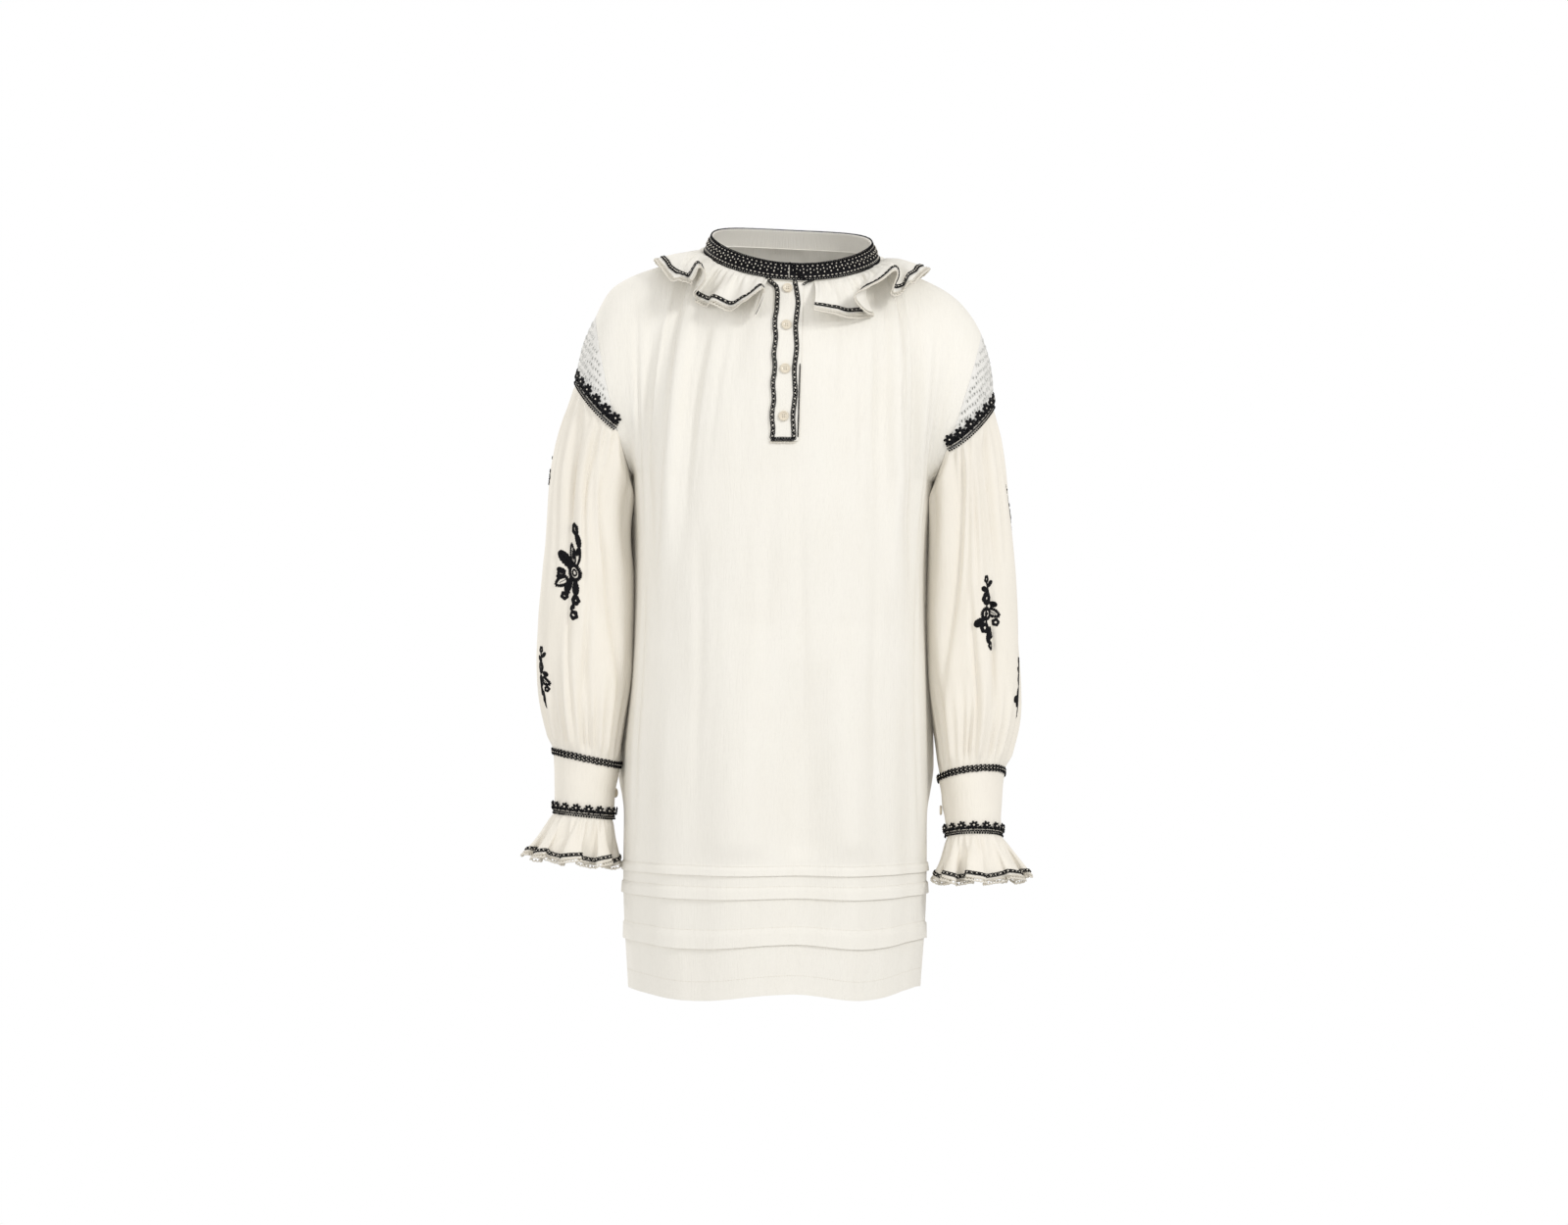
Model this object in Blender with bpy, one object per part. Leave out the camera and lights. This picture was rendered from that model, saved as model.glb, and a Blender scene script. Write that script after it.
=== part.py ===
"""Embroidered peasant tunic as it hangs when worn, hollow: front, back, lace shoulder caps, full sleeves,
deep cuffs, gathered frills, neck band and buttoned front placket. Metres, +Z up, front towards -Y,
+X to the viewer's right. The origin is where the wearer's neck meets the shoulder line."""

import math

import bpy
import numpy as np
from mathutils import Vector
from mathutils.bvhtree import BVHTree

# Cloth
CLOTH = 0.0014
DOUBLE_CLOTH = 0.0018
FRILL_CLOTH = 0.0012
PLACKET_CLOTH = 0.0012
BRAID = 0.0009
SEAM = 0.0003

# Neck ring, where the body, the frill and the band meet
NECK_X = 0.009
NECK_Y = -0.004
NECK_HALF_WIDTH = 0.098
NECK_FRONT_REACH = 0.084
NECK_BACK_REACH = 0.080
NECK_FRONT_DROP = 0.0355
NECK_BACK_RISE = 0.016
NECK_ROLL = -0.048
BAND_HEIGHT = 0.0195
BAND_LEAN = 0.007
BAND_STANDS_OUT = 0.0020
BAND_SPLIT = -2.0
BAND_OPENING = 0.7

# Body
NECK_SHARE = 0.5
UNDERARM = -0.25404
UNDERARM_ROLL = -0.02343
HEM = -0.8396
BODY_BULGE = 2.3
BODY_ROWS = (-0.300, -0.370, -0.450, -0.540, -0.630)
# Columns: height, left, right, front, back
BODY = (
    (-0.254, -0.1725, 0.1690, 0.128, 0.104),
    (-0.300, -0.1690, 0.1630, 0.130, 0.108),
    (-0.380, -0.1690, 0.1590, 0.129, 0.110),
    (-0.480, -0.1730, 0.1600, 0.128, 0.112),
    (-0.560, -0.1800, 0.1620, 0.127, 0.113),
    (-0.640, -0.1825, 0.1630, 0.126, 0.114),
    (-0.740, -0.1830, 0.1620, 0.124, 0.114),
    (-0.8396, -0.1780, 0.1555, 0.121, 0.112),
)

# Tucks round the skirt of the body: the sewn line, the folded edge below it, and how far the edge stands out
# Columns: sewn, edge, stand
TUCKS = (
    (-0.6900, -0.6996, 0.0022),
    (-0.7127, -0.7264, 0.0024),
    (-0.7610, -0.7816, 0.0026),
)
TUCK_STEP = 0.0004

# How the panels swing from their top edge to the underarm line: the reach of each curve's handles
TOP_HANDLE = 0.072
TOP_HANDLE_AT_SHOULDER = 0.010
ARMHOLE_HANDLE = 0.082
LOW_HANDLE = 0.085
FRONT_HANDLE = 0.087
BACK_HANDLE = 0.075
SHOULDER_FALL = -0.10
# Below this share of the armhole the panels' edges turn from the arm's direction to the side's
EDGE_TURN_START = 0.56
# The folds stop this far from the placket's middle, above this height
PLACKET_FLAT = 0.030
PLACKET_FLAT_END = -0.30
EDGE_FLAT = 0.08
TOP_FLAT = 0.012

# Soft folds of the panels. top and low are places across the panel, from -1 at the left edge to 1 at the
# right; start and end are heights; depth is negative for a trough.
# Columns: top, low, start, end, width, depth
FRONT_FOLDS = (
    (-0.14, -0.22, -0.03, -0.20, 0.045, -0.0030),
    (-0.27, -0.46, -0.03, -0.36, 0.060, -0.0060),
    (-0.40, -0.58, -0.06, -0.42, 0.060, 0.0050),
    (-0.70, -0.70, -0.06, -0.40, 0.060, -0.0050),
    (0.18, 0.24, -0.03, -0.22, 0.045, -0.0030),
    (0.32, 0.46, -0.03, -0.38, 0.060, -0.0060),
    (0.44, 0.58, -0.06, -0.42, 0.060, 0.0050),
    (0.62, 0.72, -0.06, -0.42, 0.055, -0.0055),
    (0.86, 0.88, -0.08, -0.34, 0.050, -0.0040),
    (-0.10, -0.17, -0.42, -0.95, 0.110, 0.0090),
    (0.10, 0.08, -0.46, -0.95, 0.090, -0.0080),
    (0.26, 0.32, -0.42, -0.95, 0.110, 0.0080),
    (-0.62, -0.60, -0.46, -0.95, 0.090, -0.0040),
    (0.66, 0.62, -0.46, -0.95, 0.090, -0.0040),
)
BACK_FOLDS = (
    (-0.30, -0.42, -0.03, -0.40, 0.060, -0.0050),
    (-0.10, -0.12, -0.03, -0.34, 0.060, 0.0050),
    (0.10, 0.14, -0.03, -0.36, 0.060, -0.0050),
    (0.32, 0.44, -0.03, -0.40, 0.060, 0.0050),
    (-0.70, -0.72, -0.06, -0.40, 0.060, -0.0050),
    (0.70, 0.72, -0.06, -0.40, 0.060, -0.0050),
    (-0.40, -0.42, -0.42, -0.95, 0.100, 0.0080),
    (-0.05, -0.08, -0.42, -0.95, 0.100, -0.0080),
    (0.36, 0.38, -0.42, -0.95, 0.100, 0.0080),
)
GATHERS = 8
GATHER_DEPTH = 0.0008
GATHER_LENGTH = 0.110
# Ways the panels leave their top edge, by the place across the panel without its sign
# Columns: place, outward, away, down
FRONT_LEAVES = (
    (0.00, 0.00, 0.46, 0.88),
    (0.25, 0.22, 0.62, 0.75),
    (0.50, 0.45, 0.85, 0.42),
    (0.62, 0.22, 0.95, 0.30),
    (0.80, 0.05, 1.00, 0.18),
    (1.00, 0.00, 1.00, 0.10),
)
BACK_LEAVES = (
    (0.00, 0.00, 0.60, 0.70),
    (0.25, 0.22, 0.72, 0.50),
    (0.50, 0.45, 0.85, 0.06),
    (0.62, 0.22, 0.95, 0.08),
    (0.80, 0.05, 1.00, 0.08),
    (1.00, 0.00, 1.00, 0.10),
)
# Shares of the way from the shoulder seam to the underarm, where panels and sleeves have their corners
ARM_STOPS = (0.0, 0.06, 0.14, 0.24, 0.36, 0.50, 0.65, 0.77, 0.88, 1.0)

# Placket down the front, its four buttons, and the two cuff buttons
PLACKET_X = 0.0032
PLACKET_HALF_WIDTH = 0.0158
PLACKET_END = -0.216
PLACKET_LEAN = 0.030
PLACKET_BRAID = 0.0042
PLACKET_BRAID_X = 0.0014
PLACKET_BRAID_HALF_WIDTH = 0.0139
BUTTON_HEIGHTS = (-0.0445, -0.0865, -0.1355, -0.1885)
BUTTON_RADIUS = 0.0057
BUTTON_THICKNESS = 0.0026
BUTTON_SEAT = 0.0006

# Each side's armhole ring, lace cap and sleeve. Angles run from the shoulder's top, 0, over the front, 90,
# to the underarm, 180. The left is the viewer's left.
LEFT, RIGHT = -1, 1
# Columns: centre, up, front, lace, round_drop, round_power
ARMHOLE = {
    LEFT: ((-0.193, 0.002, -0.158), (-0.0205, 0.002, 0.092), (-0.005, -0.065, 0.0), 0.080, 0.47, 8),
    RIGHT: ((0.197, 0.008, -0.172), (0.028, 0.008, 0.086), (0.004, -0.065, 0.0), 0.085, 0.42, 6),
}
ARM_DIRECTION = {LEFT: (-0.285, 0.0, -0.958), RIGHT: (0.160, 0.0, -0.987)}
LACE_BULGE = 0.005
LACE_LEAST = 0.0014
LACE_TIP = {LEFT: 117.0, RIGHT: 126.0}
SCALLOP_HEIGHT = 0.0135
SCALLOP_DIP = 0.0055
SCALLOP_PITCH = 0.016
BRAID_REACH = 0.90
BRAID_SHARE_OF_LACE = 0.80
# Columns: x, y, z, half_width, half_depth, rise, front_rise
SLEEVE_RINGS = {
    LEFT: (
        (-0.2235, 0.002, -0.285, 0.0410, 0.062, 0.038, 0.004),
        (-0.2250, 0.003, -0.352, 0.0465, 0.063, 0.020, 0.002),
        (-0.2290, 0.004, -0.425, 0.0505, 0.063, 0.008, 0.0),
        (-0.2300, 0.002, -0.480, 0.0500, 0.061, 0.002, 0.0),
        (-0.2285, -0.002, -0.526, 0.0455, 0.054, 0.004, 0.0),
        (-0.2270, -0.004, -0.553, 0.0410, 0.046, 0.007, 0.0),
    ),
    RIGHT: (
        (0.2130, 0.011, -0.297, 0.0410, 0.062, 0.030, 0.004),
        (0.2160, 0.016, -0.362, 0.0455, 0.063, 0.014, 0.002),
        (0.2180, 0.020, -0.430, 0.0485, 0.063, 0.004, 0.0),
        (0.2205, 0.018, -0.492, 0.0490, 0.061, -0.002, 0.002),
        (0.2190, 0.010, -0.540, 0.0455, 0.054, 0.000, 0.006),
        (0.2165, 0.004, -0.570, 0.0405, 0.046, 0.003, 0.009),
    ),
}
CUFF_RINGS = {
    LEFT: (
        (-0.2260, -0.006, -0.5695, 0.0380, 0.0390, 0.0085, 0.001),
        (-0.2290, -0.012, -0.6375, 0.0330, 0.0350, 0.0035, 0.001),
    ),
    RIGHT: (
        (0.2150, -0.001, -0.5900, 0.0370, 0.0390, 0.004, 0.010),
        (0.2170, -0.020, -0.6610, 0.0305, 0.0350, 0.000, 0.006),
    ),
}
CUFF_TOP_BRAID = 0.0055
CUFF_SCALLOP = 0.0115
CUFF_SCALLOP_DIP = 0.0045
CUFF_SCALLOP_PITCH = 0.0137
CUFF_BUTTON_SHARE = 0.56
# The cuff's lap: the angle of its edge, on the side towards the body, and the lap's width in degrees
CUFF_EDGE = {LEFT: 196.0, RIGHT: 172.0}
CUFF_LAP = 26.0
CUFF_STEPS = 30
LAP_STEP = 0.0022
LAP_RISE_START = 335.0
LAP_RISE_SPAN = 22.0
FRILL_RINGS = {
    LEFT: (-0.2395, -0.014, -0.6870, 0.0475, 0.050, 0.0050, 0.001),
    RIGHT: (0.2230, -0.028, -0.7080, 0.0490, 0.050, 0.0010, 0.002),
}
FRILL_WAVE = 0.0060
FRILL_WAVES = 8
FRILL_STEPS = 7
FRILL_SWING = 0.60
FRILL_ROWS = (0.0, 0.35, 0.70, 1.0)

# The sleeves' sections as shares of their length, their pleats at the lace and their gathers at the cuff
SLEEVE_PLACES = (0.0, 0.30, 0.47, 0.66, 0.80, 0.915, 0.97, 1.0)
SLEEVE_ROWS = (0.0, 0.05, 0.14, 0.28, 0.44, 0.60, 0.76, 0.89, 0.96, 1.0)
SLEEVE_CLEAR = 0.0009
SLEEVE_PLEATS = 9
PLEAT_DEPTH = 0.0034
CUFF_GATHER_DEPTH = 0.0030
PLEATS_START = 0.14
PLEATS_END = 0.62
GATHERS_SPAN = 0.24
# Degrees round the arm: where the side towards the body begins, and the span over which it takes over
UNDERARM_START = 120.0
UNDERARM_SPAN = 50.0
INNER_CALM = 0.85
# Columns of the sleeves' folds: top, low, start, end, width, depth
SLEEVE_FOLDS = {
    LEFT: (
        (75.0, 62.0, 0.05, 0.75, 15.0, -0.0060),
        (105.0, 128.0, 0.02, 0.70, 17.0, -0.0060),
        (140.0, 150.0, 0.20, 0.98, 17.0, 0.0030),
        (-70.0, -60.0, 0.05, 0.80, 16.0, -0.0060),
        (-115.0, -125.0, 0.05, 0.90, 17.0, -0.0050),
        (20.0, 30.0, 0.10, 0.90, 17.0, 0.0040),
    ),
    RIGHT: (
        (70.0, 58.0, 0.05, 0.80, 15.0, -0.0060),
        (100.0, 118.0, 0.02, 0.75, 17.0, -0.0060),
        (135.0, 148.0, 0.20, 0.98, 17.0, 0.0030),
        (-75.0, -62.0, 0.05, 0.80, 16.0, -0.0060),
        (-112.0, -124.0, 0.05, 0.90, 17.0, -0.0050),
        (15.0, 26.0, 0.10, 0.90, 17.0, 0.0040),
    ),
}

# The falling frill at the neck, from its right end round the back to its left end. Angles are 0 at the front
# and 90 at the viewer's right: where the cloth is sewn, how far its edge swings round from there, and how far
# the edge stands off the body.
NECK_FRILL_LENGTH = 0.053
NECK_FRILL_START = 0.0027
NECK_FRILL_FRONT_START = 0.0018
NECK_FRILL_CLEAR = 0.0024
NECK_FRILL_ROWS = (0.0, 0.12, 0.30, 0.52, 0.76, 1.0)
SWING_POWER = 1.3
STAND_POWER = 1.25
SLOPE_STEP = 0.006
NECK_PROFILE_STEP = 5.0
NECK_PROFILE_POINTS = 24
NECK_PROFILE_REACH = 0.080
# Columns: sewn, swing, stand
NECK_FRILL = (
    (14.5, 1.0, 0.009),
    (20.0, 0.0, 0.019),
    (29.0, 2.0, 0.020),
    (38.0, 9.0, 0.013),
    (43.5, 3.5, 0.017),
    (50.0, 1.0, 0.026),
    (57.0, 5.0, 0.027),
    (63.0, 1.5, 0.014),
    (68.0, -2.5, 0.003),
    (77.0, -3.0, 0.007),
    (85.0, 2.5, 0.014),
    (94.0, 3.0, 0.015),
    (103.0, -2.5, 0.006),
    (112.0, -3.0, 0.001),
    (122.0, 2.5, 0.013),
    (131.0, 4.0, 0.019),
    (140.0, -3.0, 0.012),
    (149.0, -4.0, 0.001),
    (160.0, 3.0, 0.014),
    (169.0, 4.0, 0.020),
    (178.0, -3.0, 0.012),
    (187.0, -4.0, 0.001),
    (198.0, 3.0, 0.014),
    (207.0, 4.0, 0.020),
    (216.0, -3.0, 0.011),
    (225.0, -4.0, 0.001),
    (236.0, 3.0, 0.013),
    (245.0, 3.5, 0.018),
    (254.0, -3.0, 0.007),
    (263.0, -2.0, 0.002),
    (274.0, 0.0, 0.010),
    (286.0, 3.0, 0.008),
    (296.0, 3.0, 0.002),
    (302.0, 0.0, 0.015),
    (307.0, -2.0, 0.028),
    (312.0, -2.0, 0.024),
    (316.0, -7.0, 0.014),
    (323.0, -2.0, 0.019),
    (332.0, 0.0, 0.021),
    (340.0, 4.0, 0.013),
    (344.5, -5.0, 0.002),
)

CREAM = (0.86, 0.80, 0.69)
LACE_WHITE = (0.86, 0.85, 0.80)
BLACK = (0.015, 0.015, 0.018)
SHELL = (0.80, 0.74, 0.60)


def unit(vectors):
    """Vectors of length one."""
    return vectors / np.maximum(np.linalg.norm(vectors, axis=-1, keepdims=True), 1e-12)


def ease(x):
    """0 to 1 with level ends."""
    x = np.clip(x, 0.0, 1.0)
    return x * x * (3.0 - 2.0 * x)


def smooth_through(places, keys, at):
    """A smooth curve through keys, which are given at rising places, read at the places in at."""
    places = np.asarray(places, float)
    keys = np.asarray(keys, float)
    slopes = np.gradient(keys, places, axis=0)
    at = np.asarray(at, float)
    cell = np.clip(np.searchsorted(places, at, side="right") - 1, 0, len(places) - 2)
    span = places[cell + 1] - places[cell]
    t = np.clip((at - places[cell]) / span, 0.0, 1.0)
    shape = t.shape + (1,) * (keys.ndim - 1)
    t, span = t.reshape(shape), span.reshape(shape)
    return (
        (2 * t**3 - 3 * t**2 + 1) * keys[cell]
        + (t**3 - 2 * t**2 + t) * span * slopes[cell]
        + (3 * t**2 - 2 * t**3) * keys[cell + 1]
        + (t**3 - t**2) * span * slopes[cell + 1]
    )


def straight_between(places, points, at):
    """Points read at the places in at, on straight runs between the given ones."""
    return np.stack([np.interp(at, places, points[:, i]) for i in range(3)], axis=-1)


def neck_ring(degrees, grow=0.0, up=0.0):
    """Points of the neck ring, grown sideways and raised. 0 is the front and 90 the viewer's right."""
    a = np.radians(np.asarray(degrees, float))
    c, s = np.cos(a), np.sin(a)
    reach = np.where(c > 0, NECK_FRONT_REACH, NECK_BACK_REACH) + grow
    side = (NECK_HALF_WIDTH + grow) * s
    height = -(NECK_FRONT_DROP + NECK_BACK_RISE) / 2 * c - (NECK_FRONT_DROP - NECK_BACK_RISE) / 2 * c * c
    return np.stack([NECK_X + side, NECK_Y - reach * c, height + NECK_ROLL * side + up], axis=-1)


def armhole_corner(side, degrees):
    """Points of the armhole's even oval."""
    centre, up, front = (np.array(v) for v in ARMHOLE[side][:3])
    a = np.radians(np.asarray(degrees, float))[..., None]
    return centre + np.cos(a) * up + np.sin(a) * front


def armhole(side, degrees):
    """Points of the armhole seam, straight between its corners so that the pieces meet along it."""
    stops = 180.0 * np.array(ARM_STOPS)
    corners = np.concatenate([-stops[:0:-1], stops])
    points = armhole_corner(side, corners)
    return straight_between(corners, points, degrees)


def armhole_outward(side, degrees):
    """Directions square to the arm and to the armhole seam."""
    _, up, front = (np.array(v) for v in ARMHOLE[side][:3])
    a = np.radians(np.asarray(degrees, float))[..., None]
    along = np.cos(a) * front - np.sin(a) * up
    return side * unit(np.cross(along, np.array(ARM_DIRECTION[side])))


def armhole_away(side, degrees):
    """Directions down the sleeve, square to the armhole seam."""
    _, up, front = (np.array(v) for v in ARMHOLE[side][:3])
    a = np.radians(np.asarray(degrees, float))[..., None]
    along = unit(np.cos(a) * front - np.sin(a) * up)
    down = np.array(ARM_DIRECTION[side])
    return unit(down - along * (along * down).sum(-1, keepdims=True))


def top_edge(s, back=False):
    """The panel's top edge: the neck in the middle and a shoulder seam at each end."""
    s = np.asarray(s, float)
    turn = np.clip(s / NECK_SHARE, -1, 1) * 90.0
    neck = neck_ring(180.0 - turn if back else turn)
    points = neck.copy()
    for side in (LEFT, RIGHT):
        u = np.clip((side * s - NECK_SHARE) / (1 - NECK_SHARE), 0, 1)[..., None]
        start, end = neck_ring(side * 90.0), armhole(side, 0.0)
        round_drop, power = ARMHOLE[side][4:6]
        seam = start + (end - start) * u
        fall = (1 - round_drop) * u + round_drop * u**power
        seam[..., 2] = start[2] + (end[2] - start[2]) * fall[..., 0]
        points = np.where(side * s[..., None] > NECK_SHARE, seam, points)
    return points


def body_section(s, height, back=False):
    """Points across the panel at each height, from the left side seam, s -1, to the right, s 1."""
    table = np.array(BODY)
    rows = smooth_through(-table[:, 0], table[:, 1:], -np.asarray(height, float))
    left, right, front, rear = (rows[..., i] for i in range(4))
    turn = np.radians(90.0 * np.asarray(s, float))
    sideways = np.sign(turn) * np.abs(np.sin(turn)) ** (2 / BODY_BULGE)
    forward = np.abs(np.cos(turn)) ** (2 / BODY_BULGE)
    x = (left + right) / 2 + (right - left) / 2 * sideways
    y = rear * forward if back else -front * forward
    fade = np.clip((height - HEM) / (UNDERARM - HEM), 0, 1)
    return np.stack([x, y, height + UNDERARM_ROLL * fade * x], axis=-1)


def shoulder_part(s, t, back=False):
    """The panel from its top edge, t 0, to the underarm line, t 1."""
    s, t = np.broadcast_arrays(np.asarray(s, float), np.asarray(t, float))
    top = top_edge(s, back)
    low = body_section(s, np.full(s.shape, UNDERARM), back)
    way = 1.0 if back else -1.0
    size = np.abs(s)
    table = np.array(BACK_LEAVES if back else FRONT_LEAVES)
    leave = smooth_through(table[:, 0], table[:, 1:], size) * np.array([1.0, way, -1.0])
    leave[..., 0] *= np.sign(s)
    reach = TOP_HANDLE + TOP_HANDLE_AT_SHOULDER * ease(size / NECK_SHARE)
    near_edge = size**4
    forward = BACK_HANDLE if back else FRONT_HANDLE
    arrive = np.stack(
        [np.zeros(s.shape), way * forward * near_edge, LOW_HANDLE * (1 - near_edge)], axis=-1
    )
    ends = (top, top + unit(leave) * reach[..., None], low + arrive, low)
    t3 = t[..., None]
    shares = ((1 - t3) ** 3, 3 * (1 - t3) ** 2 * t3, 3 * (1 - t3) * t3**2, t3**3)
    points = sum(share * end for share, end in zip(shares, ends))
    for side in (LEFT, RIGHT):
        edge = (armhole(side, 0.0), None, None, armhole(side, 180.0))
        edge_one = edge[0] + unit(np.array([0.0, way, SHOULDER_FALL])) * ARMHOLE_HANDLE
        edge_two = edge[3] + np.array([0.0, way * forward, 0.0])
        plain = sum(share * end for share, end in zip(shares, (edge[0], edge_one, edge_two, edge[3])))
        seam = armhole(side, 180.0 * t * -way)
        points = points + np.clip(side * s, 0, 1)[..., None] ** 6 * (seam - plain)
    return points


def panel_base(s, rows, back=False):
    """The panel with no folds. rows holds (t, height) pairs: t below 1 is above the underarm line."""
    made = []
    for t, height in rows:
        if t < 1:
            made.append(shoulder_part(s, np.full(s.shape, t), back))
        else:
            made.append(body_section(s, np.full(s.shape, height), back))
    return np.array(made)


def grid_outward(points, closed=False):
    """Directions square to a grid of points."""
    down = np.gradient(points, axis=0)
    if closed:
        across = np.roll(points, -1, axis=1) - np.roll(points, 1, axis=1)
    else:
        across = np.gradient(points, axis=1)
    return unit(np.cross(across, down))


def fold_field(folds, s, height):
    """How far soft folds push the cloth out at each place."""
    total = np.zeros(np.broadcast(s, height).shape)
    for top, low, start, end, width, depth in folds:
        along = (height - start) / (end - start)
        centre = top + (low - top) * np.clip(along, 0, 1)
        swell = np.sin(np.pi * np.clip(along, 0, 1) ** 0.8) ** 1.2
        total = total + depth * swell * np.exp(-(((s - centre) / width) ** 2))
    return total


def wall(name, outer, inward, thickness, material, closed=False):
    """One closed solid from a grid of outer points, with its inner face moved along inward."""
    inner = outer + inward * thickness
    rows, columns = outer.shape[:2]
    points = np.concatenate([outer.reshape(-1, 3), inner.reshape(-1, 3)])
    shift = rows * columns
    last = columns if closed else columns - 1
    faces = []
    for i in range(rows - 1):
        for j in range(last):
            a, b = i * columns + j, i * columns + (j + 1) % columns
            c, d = b + columns, a + columns
            faces.append((a, b, c, d))
            faces.append((a + shift, d + shift, c + shift, b + shift))
    for j in range(last):
        a, b = j, (j + 1) % columns
        faces.append((b, a, a + shift, b + shift))
        a, b = a + (rows - 1) * columns, b + (rows - 1) * columns
        faces.append((a, b, b + shift, a + shift))
    if not closed:
        for i in range(rows - 1):
            a, b = i * columns, (i + 1) * columns
            faces.append((a, b, b + shift, a + shift))
            a, b = a + columns - 1, b + columns - 1
            faces.append((b, a, a + shift, b + shift))
    return solid(name, points, faces, material)


def solid(name, points, faces, material):
    """An object from points and faces, turned so that its faces point out."""
    volume = 0.0
    for face in faces:
        for k in range(1, len(face) - 1):
            a, b, c = points[face[0]], points[face[k]], points[face[k + 1]]
            volume += float(np.dot(a, np.cross(b, c)))
    if volume < 0:
        faces = [face[::-1] for face in faces]
    mesh = bpy.data.meshes.new(name)
    mesh.from_pydata([tuple(p) for p in points], [], faces)
    mesh.materials.append(material)
    mesh.shade_smooth()
    mesh.set_sharp_from_angle(angle=math.radians(50))
    thing = bpy.data.objects.new(name, mesh)
    bpy.context.scene.collection.objects.link(thing)
    return thing


def finish(name, colour, roughness):
    """A plain material."""
    material = bpy.data.materials.new(name)
    material.use_nodes = True
    surface = material.node_tree.nodes["Principled BSDF"]
    surface.inputs["Base Color"].default_value = (*colour, 1.0)
    surface.inputs["Roughness"].default_value = roughness
    surface.inputs["Metallic"].default_value = 0.0
    return material


def panel_rows(between):
    """(share of the way to the underarm, height) pairs from top edge to hem, with each tuck's rows."""
    rows = [(stop, UNDERARM * stop) for stop in ARM_STOPS]
    rows += [(1.0, height) for height in between]
    for sewn, edge, _ in TUCKS:
        rows += [(1.0, sewn), (1.0, edge), (1.0, edge - TUCK_STEP)]
    return rows + [(1.0, (TUCKS[-1][1] + HEM) / 2), (1.0, HEM)]


def body_panel(name, back, places, between, folds, material):
    """The front or back: gathered to the neck, open at the armholes, with three tucks above the hem."""
    rows = panel_rows(between)
    s = np.asarray(places, float)
    base = panel_base(s, rows, back)
    outward = grid_outward(base)
    way = 1.0 if back else -1.0
    middle = len(s) // 2
    if outward[len(rows) // 2, middle, 1] * way < 0:
        outward = -outward
    heights = np.array([h for _, h in rows])[:, None]
    stops = np.array(ARM_STOPS)
    turn = np.pi / 2 * ease((stops - EDGE_TURN_START) / (1 - EDGE_TURN_START))
    for side, column in ((LEFT, 0), (RIGHT, -1)):
        body_like = np.stack([side * np.sin(turn), way * np.cos(turn), 0 * turn], axis=-1)
        arm_like = armhole_outward(side, -way * 180.0 * stops)
        outward[:len(stops), column] = np.where(stops[:, None] > 0.5, body_like, arm_like)
        outward[len(stops) - 1:, column] = (side, 0.0, 0.0)
    on_shoulder = np.abs(s) > NECK_SHARE - 0.01
    outward[0, on_shoulder, 1] = 0.0
    outward[0] = unit(outward[0])
    push = fold_field(folds, s[None, :], heights)
    wave = GATHER_DEPTH * np.cos(2 * np.pi * GATHERS * (s / NECK_SHARE + 1) / 2)
    below = np.clip(-heights / GATHER_LENGTH, 0, 1)
    push = push + wave * (np.abs(s) < NECK_SHARE) * np.sin(np.pi * below**0.6)
    if not back:
        beside = np.exp(-((base[..., 0] - PLACKET_X) / PLACKET_FLAT) ** 4)
        push = push * (1 - beside * (heights > PLACKET_FLAT_END))
    push = push * ease((1 - np.abs(s)) / EDGE_FLAT) * ease(-heights / TOP_FLAT)
    plain = base + outward * push[..., None]
    plain[..., 1] += way * SEAM / 2
    plain[0, :, 2] -= SEAM / 2
    inner = plain - outward * CLOTH
    outer = plain.copy()
    for row, (t, height) in enumerate(rows):
        for _, edge, stand in TUCKS:
            if t >= 1 and abs(height - edge) < 1e-6:
                outer[row] = outer[row] + outward[row] * stand
    thickness = np.linalg.norm(inner - outer, axis=-1, keepdims=True)
    return wall(name, outer, (inner - outer) / thickness, thickness, material)


def places_across(neck_columns, shoulder_columns):
    """Places across a panel, closer together where it is gathered to the neck."""
    neck = np.linspace(-NECK_SHARE, NECK_SHARE, neck_columns + 1)
    shoulder = np.linspace(NECK_SHARE, 1.0, shoulder_columns + 1)[1:]
    return np.concatenate([-shoulder[::-1], neck, shoulder])


def lace_width(side, degrees):
    """The depth of the lace cap below the armhole seam."""
    deep = ARMHOLE[side][3]
    a = np.radians(np.abs(np.asarray(degrees, float))) * 90.0 / LACE_TIP[side]
    width = LACE_LEAST + (deep - LACE_LEAST) * np.cos(np.minimum(a, np.pi / 2))
    return np.where(np.abs(degrees) > LACE_TIP[side] + 0.01, 0.0, width)


def arm_angles(tip=180.0):
    """The corners' angles round the armhole, and one between each two, up to the tip."""
    stops = 180.0 * np.array(ARM_STOPS)
    corners = np.concatenate([-stops[:0:-1], stops])
    between = (corners[1:] + corners[:-1]) / 2
    angles = np.sort(np.concatenate([corners, between]))
    return angles[np.abs(angles) <= tip + 0.01]


def lace_surface(side, degrees, v):
    """The lace cap: v 0 at the armhole seam and 1 at the sleeve's seam."""
    degrees, v = np.broadcast_arrays(np.asarray(degrees, float), np.asarray(v, float))
    width = lace_width(side, degrees)[..., None]
    outward = armhole_outward(side, degrees)
    down = np.array(ARM_DIRECTION[side])
    bulge = LACE_BULGE * np.sin(np.pi * v)[..., None] * width / ARMHOLE[side][3]
    return armhole(side, degrees) + down * width * v[..., None] + outward * bulge


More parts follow.
